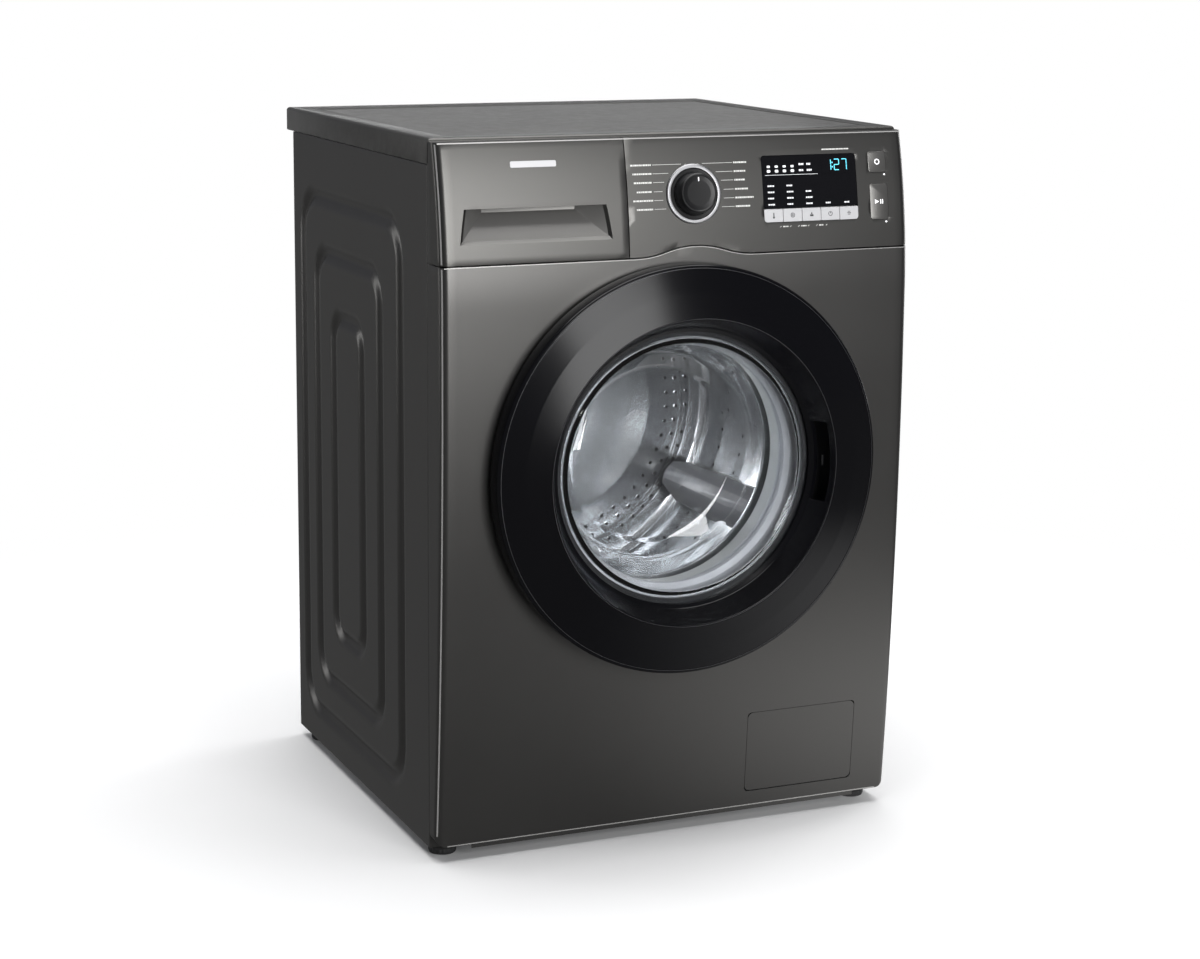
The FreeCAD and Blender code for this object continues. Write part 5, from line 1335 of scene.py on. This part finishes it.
# ---------------------------------------------------------------- door
@dataclass
class Door:
    """The round door: gloss ring with its grip, dark inner wall, glass bowl and latch."""

    radius: float = RING_HIGH.x
    rim_radius: float = 181.5 * MM
    window_radius: float = 163 * MM
    wall: float = 3 * MM
    steps: int = 192

    def build(self) -> None:
        """Builds and dresses the door's pieces."""
        self._ring()
        self._glass()
        self._marks()
        for node in ("door_frame", "latch_hook"):
            body_finish = SATIN_BLACK if node == "door_frame" else PLATED_STEEL
            piece = Bench.refined(node, node + "_moulding", 0.3 * MM, 1)
            slot = "door_inner" if node == "door_frame" else "steel_parts"
            Bench.hand_over(piece, body_finish, "door", slot, [node])

    def _ring(self) -> None:
        """Builds the ring as one turned shell with a finger grip cut in its inner wall."""
        f, r, rim, win = FORM.y_front, self.radius, self.rim_radius, self.window_radius
        crest = RING_LOW.y
        profile = [
            (r, f - 6 * MM, 0.5 * MM), (r, f - 27.5 * MM, 4.0 * MM),
            (r - 6 * MM, f - 29.3 * MM, 1.0 * MM),
            ((r + rim) / 2, f - 37.3 * MM, 30 * MM), (rim + 1.8 * MM, crest, 1.2 * MM),
            (rim - 0.6 * MM, crest + 0.3 * MM, 0.8 * MM), (win + 5 * MM, f - 15 * MM, 5 * MM),
            (win, f - 12.4 * MM, 0.8 * MM), (win, f - 9.5 * MM, 0), (win + 6.6 * MM, f - 9.8 * MM, 0),
            (rim + 1.5 * MM, crest + 4.6 * MM, 0), (r - 5 * MM, f - 24.6 * MM, 0),
            (r - self.wall, f - 22 * MM, 0), (r - self.wall, f - 6 * MM, 0)]
        bm = Bench.door_lathe(Bench.softened(profile, 6), self.steps, AXIS)
        piece = Bench.release(bm, "door_ring_shell")
        grip = Bench.front_plug(win - 5 * MM, rim + 6 * MM, AXIS - 48 * MM, AXIS + 48 * MM, 7 * MM,
                                crest + 7 * MM, f - 16 * MM)
        Bench.cut(piece, [grip])
        Bench.hand_over(piece, GLOSS_BLACK, "door", "door_black", ["door_ring"], 32)
        # The crest and shoulder rings are painted highlights of light caught by the ring's rounded
        # edges.
        for name, line_r, y, width in (("door_crest_highlight", rim + 0.5 * MM, crest, 0.9 * MM),
                                       ("door_shoulder_highlight", r - 4.6 * MM, f - 29.2 * MM, 0.8 * MM)):
            line = [(line_r, y + 0.5 * MM, 0), (line_r + width, y + 0.5 * MM, 0),
                    (line_r + width * 0.7, y - 0.12 * MM, 0), (line_r + width * 0.3, y - 0.12 * MM, 0)]
            trim = Bench.release(Bench.door_lathe(Bench.softened(line, 2), self.steps, AXIS), name)
            Bench.hand_over(trim, RING_HIGHLIGHT, "door", "door_black", (), 40)

    def _glass(self) -> None:
        """Builds the pressed glass bowl."""
        low, high = low_high("door_glass")
        flange, tip = high.x, high.y
        f = FORM.y_front
        outer = [(flange, f - 9.2 * MM, 0.5 * MM), (flange, f - 5.2 * MM, 0.5 * MM),
                 (154 * MM, f - 5.2 * MM, 3 * MM), (132 * MM, tip - 17 * MM, 14 * MM),
                 (108 * MM, tip - 5 * MM, 18 * MM), (60 * MM, tip - 0.8 * MM, 20 * MM), (0, tip, 0)]
        inner = [(0, tip - 4 * MM, 0), (60 * MM, tip - 4.8 * MM, 20 * MM),
                 (106 * MM, tip - 9 * MM, 18 * MM), (128 * MM, tip - 19 * MM, 12 * MM),
                 (149 * MM, f - 9.2 * MM, 2 * MM)]
        profile = Bench.softened(outer + inner, 6)
        piece = Bench.release(Bench.door_lathe(profile, self.steps, AXIS), "door_glass_bowl")
        Bench.hand_over(piece, DOOR_GLASS, "door", "door_glass", ["door_glass"], 50)

    def _marks(self) -> None:
        """Adds the small tick that shows where to pull, beside the grip."""
        bm = bmesh.new()
        bmesh.ops.create_cube(bm, size=1.0)
        bmesh.ops.bevel(bm, geom=bm.edges[:], offset=0.1, segments=2, profile=0.5, affect="EDGES",
                        material=-1)
        bmesh.ops.scale(bm, verts=bm.verts[:], vec=(2.2 * MM, 0.6 * MM, 12 * MM))
        reach = self.rim_radius - 7.5 * MM
        bmesh.ops.translate(bm, verts=bm.verts[:], vec=(reach, FORM.y_front - 26 * MM, AXIS))
        piece = Bench.release(bm, "door_pull_tick")
        Bench.hand_over(piece, SATIN_BLACK, "door", "door_black")


# ---------------------------------------------------------------- drum, seal and tub
@dataclass
class Drum:
    """The stainless drum: rolled mouth, perforated wall, stepped back and lifters."""

    radius: float = 238 * MM
    mouth: float = 155 * MM
    wall: float = 1.0 * MM
    steps: int = 144

    def build(self) -> None:
        """Builds and dresses the drum's pieces."""
        low, high = low_high("drum")
        self._shell(low.y, high.y)
        self._holes(low.y, high.y)
        piece = Bench.refined("drum_paddles", "drum_lifters", 5 * MM, 4)
        Bench.hand_over(piece, LIFTER_GREY, "drum", "white_plastic", ["drum_paddles"], 40)

    def _shell(self, y0: float, y1: float) -> None:
        """Builds the drum's shell with beads rolled into its wall and a stepped back."""
        r, w, m = self.radius, self.wall, self.mouth
        bead = [(r - (1.2 * MM if i % 2 else 0.0), y0 + (40 + 24 * i) * MM, 5 * MM) for i in range(12)]
        outer = ([(m, y0 + 5 * MM, 1 * MM), (m - 0.5 * MM, y0, 2 * MM), (m + 6 * MM, y0, 2 * MM),
                  (r - 14 * MM, y0 + 4 * MM, 8 * MM), (r, y0 + 22 * MM, 6 * MM)] + bead
                 + [(r, y1 - 8 * MM, 5 * MM), (r - 9 * MM, y1, 4 * MM),
                    (r - 26 * MM, y1 - 1 * MM, 4 * MM),
                    (r - 44 * MM, y1 - 14 * MM, 7 * MM), (r - 60 * MM, y1 - 14.5 * MM, 5 * MM),
                    (r - 92 * MM, y1 - 16 * MM, 10 * MM), (60 * MM, y1 - 9 * MM, 30 * MM),
                    (0, y1 - 8 * MM, 0)])
        inner = [(max(0.0, u - (w if v < y1 - 7 * MM and u > r - 12 * MM else 0.0)),
                  v - (w if v > y1 - 20 * MM else 0.0), c) for u, v, c in reversed(outer)]
        inner = [(u, v + (w if v < y0 + 8 * MM else 0.0), c) for u, v, c in inner]
        inner[-1] = (m + w, y0 + 5 * MM, 0)
        profile = Bench.softened(outer + inner, 3)
        piece = Bench.release(Bench.door_lathe(profile, self.steps, AXIS), "drum_shell")
        Bench.hand_over(piece, DRUM_STEEL, "drum", "drum_steel", ["drum"], 35)

    def _holes(self, y0: float, y1: float) -> None:
        """Sets dark drain holes with bright rolled lips in rows on the wall and the back."""
        lips = bmesh.new()
        shades = bmesh.new()
        wall_r = self.radius - self.wall - 0.1 * MM
        for row in range(11):
            y = y0 + (46 + 26 * row) * MM
            count = 60
            for k in range(count):
                angle = (k + 0.5 * (row % 2)) * FULL_TURN / count
                self._hole(lips, shades, angle, wall_r, y, inward=True)
        for ring, count in ((self.radius - 34 * MM, 66), (self.radius - 52 * MM, 60),
                            (self.radius - 66 * MM, 54)):
            y = y1 - (9.2 if ring > self.radius - 40 * MM else 15.6) * MM
            for k in range(count):
                angle = (k + 0.5 * (count % 4 == 0)) * FULL_TURN / count
                self._hole(lips, shades, angle, ring, y, inward=False)
        Bench.hand_over(Bench.release(lips, "drum_hole_lips"), DRUM_STEEL, "drum", "drum_steel")
        Bench.hand_over(Bench.release(shades, "drum_hole_shades"), DRUM_SHADE, "drum", "drum_steel")

    @staticmethod
    def _hole(lips: bmesh.types.BMesh, shades: bmesh.types.BMesh, angle: float, radius: float, y: float,
              inward: bool) -> None:
        """Adds one hole: a low bright lip and a dark disc inside it."""
        around = Matrix.Rotation(-angle, 4, "Y")
        at = Matrix.Translation((0, 0, AXIS)) @ around @ Matrix.Translation((0, y, radius))
        tilt = Matrix.Rotation(math.pi, 4, "X") if inward else FORWARD
        place = at @ tilt
        bmesh.ops.create_cone(lips, cap_ends=False, segments=10, radius1=3.2 * MM, radius2=2.3 * MM,
                              depth=0.7 * MM, matrix=place @ Matrix.Translation((0, 0, 0.2 * MM)))
        bmesh.ops.create_circle(shades, cap_ends=True, segments=10, radius=2.35 * MM,
                                matrix=place @ Matrix.Translation((0, 0, 0.35 * MM)))


@dataclass
class DoorSeal:
    """The grey bellows between the loading port and the tub."""

    port: float = 176 * MM
    lip: float = 151 * MM
    steps: int = 144

    def build(self) -> None:
        """Builds the folded seal."""
        f = FORM.y_front
        neck_low = low_high("tub_front")[0]
        neck_y, neck_r = neck_low.y, 158 * MM
        outer = [(self.port + 2.3 * MM, f + 10.5 * MM, 0.8 * MM),
                 (self.port + 8 * MM, f + 10.5 * MM, 2 * MM),
                 (self.port + 8 * MM, f + 26 * MM, 4 * MM), (self.port - 2 * MM, f + 30 * MM, 3 * MM),
                 (self.port + 2 * MM, f + 37 * MM, 3 * MM),
                 (neck_r + 8.5 * MM, neck_y - 8 * MM, 4 * MM),
                 (neck_r + 8.5 * MM, neck_y + 12 * MM, 1 * MM),
                 (neck_r + 3.3 * MM, neck_y + 12 * MM, 0.5 * MM),
                 (neck_r + 3.3 * MM, neck_y - 0.4 * MM, 0.5 * MM)]
        inner = [(neck_r - 2 * MM, neck_y - 0.4 * MM, 1.5 * MM),
                 (neck_r - 4 * MM, neck_y - 9 * MM, 3 * MM),
                 (neck_r + 7 * MM, f + 33 * MM, 3 * MM), (self.lip - 3 * MM, f + 27 * MM, 2 * MM),
                 (self.lip - 2.5 * MM, f + 21 * MM, 1.5 * MM),
                 (self.lip + 5 * MM, f + 18.5 * MM, 2 * MM),
                 (self.port - 9 * MM, f + 21 * MM, 3 * MM), (self.port - 6 * MM, f + 17.5 * MM, 2 * MM),
                 (self.port - 2 * MM, f + 19 * MM, 1 * MM),
                 (self.port + 2.3 * MM, f + 16.6 * MM, 0.5 * MM)]
        profile = Bench.softened(outer + inner, 5)
        piece = Bench.release(Bench.door_lathe(profile, self.steps, AXIS), "door_seal_bellows")
        piece.data.materials.append(GREY_RUBBER.material())
        Bench.smooth(piece, 40)
        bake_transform(piece)
        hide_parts("door_gasket")
        LOG.info("door_seal_bellows bends from cabinet to tub: %d faces", len(piece.data.polygons))


@dataclass
class Suspension:
    """The tub's two springs, wound wire with closed ends."""

    wire: float = 1.6 * MM
    turns: int = 14

    def build(self) -> None:
        """Builds both springs from the CAD springs' places."""
        low, high = low_high("suspension_springs")
        middle_y = (low.y + high.y) / 2
        radius = (high.y - low.y) / 2 - self.wire
        bm = bmesh.new()
        for sign in (-1, 1):
            x = sign * (high.x - radius - self.wire)
            self._coil(bm, x, middle_y, low.z, high.z, radius)
        piece = Bench.release(bm, "tub_springs")
        piece.data.materials.append(PLATED_STEEL.material())
        Bench.smooth(piece, 60)
        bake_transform(piece)
        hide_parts("suspension_springs")

    def _coil(self, bm: bmesh.types.BMesh, x: float, y: float, z0: float, z1: float,
              radius: float) -> None:
        """Winds one spring between two heights."""
        before = set(bm.verts)
        start = Matrix.Translation((x + radius, y, z0 + self.wire)) @ FORWARD
        bmesh.ops.create_circle(bm, cap_ends=False, segments=8, radius=self.wire, matrix=start)
        ring = [v for v in bm.verts if v not in before]
        edges = list({e for v in ring for e in v.link_edges})
        steps = self.turns * 16
        lift = (z1 - z0 - 2 * self.wire) / steps
        made = bmesh.ops.spin(bm, geom=ring + edges, cent=(x, y, 0), axis=(0, 0, 1), dvec=(0, 0, lift),
                              angle=FULL_TURN * self.turns, steps=steps, use_duplicate=False)
        last = [e for e in made["geom_last"] if isinstance(e, bmesh.types.BMEdge)]
        bmesh.ops.edgeloop_fill(bm, edges=last)
        bmesh.ops.edgeloop_fill(bm, edges=[e for e in edges if e.is_valid and e.is_boundary])
        bmesh.ops.recalc_face_normals(bm, faces=bm.faces[:])


@dataclass
class Hoses:
    """The fill hose and the sump hose, which run between the cabinet and the sprung tub."""

    held_above: tuple[tuple[str, bool], ...] = (("fill_hose", True), ("sump_hose", False))

    def build(self) -> None:
        """Copies each hose's CAD shape, welded, smooth-shaded and in black rubber, in place of its CAD
        node.
        """
        for node, above in self.held_above:
            bm = bmesh.new()
            bm.from_mesh(frame["nodes"][node].data)
            bmesh.ops.remove_doubles(bm, verts=bm.verts[:], dist=1e-6)
            piece = Bench.release(bm, node + "_run")
            piece.data.materials.append(BLACK_RUBBER.material())
            Bench.smooth(piece, 40)
            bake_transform(piece)
            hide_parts(node)
            LOG.info("%s bends from cabinet to tub: %d faces", piece.name, len(piece.data.polygons))


# ---------------------------------------------------------------- worktop, back and feet
@dataclass
class Worktop:
    """The worktop: a moulded border round a laminate board."""

    def build(self) -> None:
        """Builds and dresses the border and the board."""
        piece = Bench.refined("worktop_frame", "worktop_border", 1.6 * MM, 3)
        Bench.hand_over(piece, WORKTOP_TRIM, "cabinet", "worktop_trim", ["worktop_frame"])
        piece = Bench.refined("worktop_board", "worktop_laminate_board", 0.7 * MM, 2)
        Bench.hand_over(piece, WORKTOP_BOARD, "cabinet", "worktop_laminate", ["worktop_board"])


@dataclass
class Feet:
    """Four levelling feet: ribbed rubber pads with a hexagon nut on the stud."""

    def build(self) -> None:
        """Builds each foot in its CAD place."""
        for depth in ("front", "rear"):
            for side in ("left", "right"):
                self._foot(f"foot_{depth}_{side}")

    def _foot(self, name: str) -> None:
        """Builds one foot."""
        node = next(n for n in frame["nodes"] if n.startswith(name))
        bodies = frame["record"]["behaviour"]["bodies"]
        body = next(b for b, members in bodies.items() if node in members)
        low, high = low_high(node)
        x, y = (low.x + high.x) / 2, (low.y + high.y) / 2
        r = (high.x - low.x) / 2
        pad = [(0, 0, 0), (r - 1 * MM, 0, 0.8 * MM), (r, 2.5 * MM, 1.2 * MM), (r, 6.5 * MM, 1.2 * MM),
               (r - 3.5 * MM, 8 * MM, 1 * MM), (7 * MM, 9 * MM, 1 * MM), (0, 9 * MM, 0)]
        bm = Bench.lathe(Bench.softened(pad, 3, closed=False), 48, closed=False)
        for vert in bm.verts:
            reach = math.hypot(vert.co.x, vert.co.y)
            turn = round(math.atan2(vert.co.y, vert.co.x) / FULL_TURN * 48)
            if reach > r - 0.6 * MM and turn % 3 == 0:
                vert.co.xy = vert.co.xy * ((reach - 0.7 * MM) / reach)
        bmesh.ops.translate(bm, verts=bm.verts[:], vec=(x, y, low.z))
        Bench.hand_over(Bench.release(bm, name + "_pad"), BLACK_RUBBER, body, "black_rubber", [node])
        bm = bmesh.new()
        bmesh.ops.create_cone(bm, cap_ends=True, segments=20, radius1=4.9 * MM, radius2=4.9 * MM,
                              depth=high.z - low.z - 8 * MM,
                              matrix=Matrix.Translation((x, y, (high.z + low.z + 8 * MM) / 2)))
        nut = Matrix.Translation((x, y, low.z + 11.4 * MM))
        bmesh.ops.create_cone(bm, cap_ends=True, segments=6, radius1=9 * MM, radius2=9 * MM,
                              depth=4 * MM,
                              matrix=nut)
        piece = Bench.release(bm, name + "_stud")
        Bench.ease(piece, 0.3 * MM, 2, 40)
        Bench.settle(piece)
        Bench.hand_over(piece, PLATED_STEEL, body, "steel_parts")


class CarriedOver:
    """CAD nodes that keep their shape and take a finish from their slot."""

    def build(self) -> None:
        """Dresses every CAD node still shown."""
        slots = {s["node"]: s["material_slot"] for s in frame["record"]["subparts"]}
        for name, node in frame["nodes"].items():
            if node.hide_render:
                continue
            finish = SLOT_FINISHES.get(slots.get(name, ""), SATIN_BLACK)
            for i in range(max(1, len(node.material_slots))):
                node.material_slots[i].material = finish.material()


# ---------------------------------------------------------------- studio
@dataclass
class Studio:
    """A pale floor, a white surround, soft lamps and the camera."""

    eye: Vector = field(default_factory=lambda: Vector((-1.2659, -2.9316, 1.0774)))
    yaw: float = math.radians(23.109)
    pitch: float = math.radians(-10.012)
    roll: float = math.radians(0.358)
    lens: float = 76.475
    shift: Point = (0.0176, -0.0801)
    patch: Point = (0.62, -0.52)
    patch_reach: float = 0.75
    patch_glow: float = 1.3
    floor_mirror: float = 0.18
    fade_start: float = 0.7
    fade_end: float = 1.6

    def build(self) -> None:
        """Builds the surround, the floor, the lamps and the camera."""
        self._surround()
        self._floor()
        self._lamps()
        self._camera()
        bpy.context.scene.view_settings.view_transform = "Standard"

    def _surround(self) -> None:
        """Makes a white background that lights the machine only dimly."""
        world = bpy.data.worlds.new("studio")
        bpy.context.scene.world = world
        world.use_nodes = True
        sheet = NodeSheet(world.node_tree)
        world.node_tree.nodes.clear()
        seen = sheet.add("LightPath").outputs["Is Camera Ray"]
        dim = sheet.add("Background", {"Color": (0.9, 0.92, 1.0, 1.0), "Strength": 0.16}).outputs[0]
        white = sheet.add("Background", {"Color": (1.0, 1.0, 1.0, 1.0), "Strength": 1.0}).outputs[0]
        both = sheet.add("MixShader", {0: seen, 1: dim, 2: white}).outputs[0]
        sheet.add("OutputWorld", {"Surface": both})

    def _floor(self) -> None:
        """Lays a pale floor that fades into the background."""
        bm = bmesh.new()
        bmesh.ops.create_grid(bm, x_segments=4, y_segments=4, size=15.0)
        floor = Bench.release(bm, "studio_floor")
        made = bpy.data.materials.new("studio_floor_paint")
        made.use_nodes = True
        sheet = NodeSheet(made.node_tree)
        shader = made.node_tree.nodes["Principled BSDF"]
        place = sheet.add("TexCoord").outputs["Object"]
        mottle = sheet.noise(place, 3.0, 3.0)
        shader.inputs["Roughness"].default_value = 0.9
        colour = sheet.mix(mottle, (0.78, 0.78, 0.78, 1.0), (0.82, 0.82, 0.82, 1.0))
        sheet.tree.links.new(colour, shader.inputs["Base Color"])
        distance = sheet.add("VectorMath", {0: place}, operation="LENGTH").outputs["Value"]
        fade = sheet.add("MapRange", {0: distance, 1: self.fade_start, 2: self.fade_end},
                         interpolation_type="SMOOTHSTEP").outputs[0]
        paths = sheet.add("LightPath")
        white = sheet.add("Emission", {"Color": (1.0, 1.0, 1.0, 1.0), "Strength": 1.0}).outputs[0]
        both = sheet.add("MixShader", {0: sheet.math("MULTIPLY", fade, paths.outputs["Is Camera Ray"]),
                                       1: shader.outputs[0], 2: white}).outputs[0]
        offset = sheet.add("VectorMath", {0: place, 1: (*self.patch, 0.0)},
                           operation="SUBTRACT").outputs[0]
        reach = sheet.add("VectorMath", {0: offset}, operation="LENGTH").outputs["Value"]
        glow = sheet.add("MapRange", {0: reach, 1: 0.05, 2: self.patch_reach, 3: self.patch_glow,
                                      4: self.floor_mirror}, interpolation_type="SMOOTHSTEP").outputs[0]
        mirrored = sheet.add("Emission", {"Color": (1.0, 1.0, 1.0, 1.0), "Strength": glow}).outputs[0]
        result = sheet.add("MixShader", {0: paths.outputs["Is Glossy Ray"], 1: both, 2: mirrored})
        sheet.tree.links.new(result.outputs[0],
                             made.node_tree.nodes["Material Output"].inputs["Surface"])
        floor.data.materials.append(made)

    @staticmethod
    def _lamp(name: str, place: Point, height: float, aim: Vector, size: Point, power: float) -> None:
        """Hangs one soft rectangular lamp aimed at a point."""
        data = bpy.data.lights.new(name, "AREA")
        data.shape = "RECTANGLE"
        data.size, data.size_y = size
        data.energy = power
        lamp = bpy.data.objects.new(name, data)
        bpy.context.scene.collection.objects.link(lamp)
        lamp.location = (place[0], place[1], height)
        lamp.rotation_mode = "QUATERNION"
        lamp.rotation_quaternion = (aim - lamp.location).to_track_quat("-Z", "Y")

    def _lamps(self) -> None:
        """Sets the key, top, side and back lamps, and one in the drum for its steel."""
        centre = Vector((0, 0, 0.45))
        self._lamp("front_softbox", (0.4, -3.55), 1.33, Vector((0.4, 0, 1.2)), (1.37, 1.95), 80.0)
        self._lamp("top_softbox", (0.0, -0.1), 3.2, Vector((0, 0, 0)), (3.2, 3.0), 150.0)
        self._lamp("left_back_strip", (-2.6, 1.7), 1.2, centre, (0.5, 2.0), 12.0)
        self._lamp("right_softbox", (2.9, 0.9), 1.2, centre, (1.2, 1.8), 34.0)
        self._lamp("back_softbox", (0.8, 3.2), 0.65, centre, (2.2, 0.8), 34.0)
        self._lamp("drum_lamp", (-0.115, -0.165), AXIS + 0.07, Vector((0.12, 0.15, AXIS)),
                   (0.08, 0.12), 0.6)

    def _camera(self) -> None:
        """Stands the camera at the front left, a little above the worktop."""
        data = bpy.data.cameras.new("camera")
        data.lens = self.lens
        data.shift_x, data.shift_y = self.shift
        data.clip_end = 100.0
        camera = bpy.data.objects.new("camera", data)
        bpy.context.scene.collection.objects.link(camera)
        level_reach = math.cos(self.pitch)
        ahead = Vector((math.sin(self.yaw) * level_reach, math.cos(self.yaw) * level_reach,
                        math.sin(self.pitch)))
        level = Vector((math.cos(self.yaw), -math.sin(self.yaw), 0))
        up = level.cross(ahead)
        right = level * math.cos(self.roll) + up * math.sin(self.roll)
        above = up * math.cos(self.roll) - level * math.sin(self.roll)
        turn = Matrix((right, above, -ahead)).transposed()
        camera.matrix_world = Matrix.Translation(self.eye) @ turn.to_4x4()
        bpy.context.scene.camera = camera


def main() -> None:
    """Builds the machine's visible pieces round the frame, then the studio."""
    logging.basicConfig(level=logging.INFO)
    for sign in (-1, 1):
        PressedSide(sign).build()
    FrontPanel().build()
    ControlPanel().build()
    Door().build()
    Drum().build()
    DoorSeal().build()
    Suspension().build()
    Hoses().build()
    Worktop().build()
    Feet().build()
    CarriedOver().build()
    Studio().build()


if __name__ == "__main__":
    main()
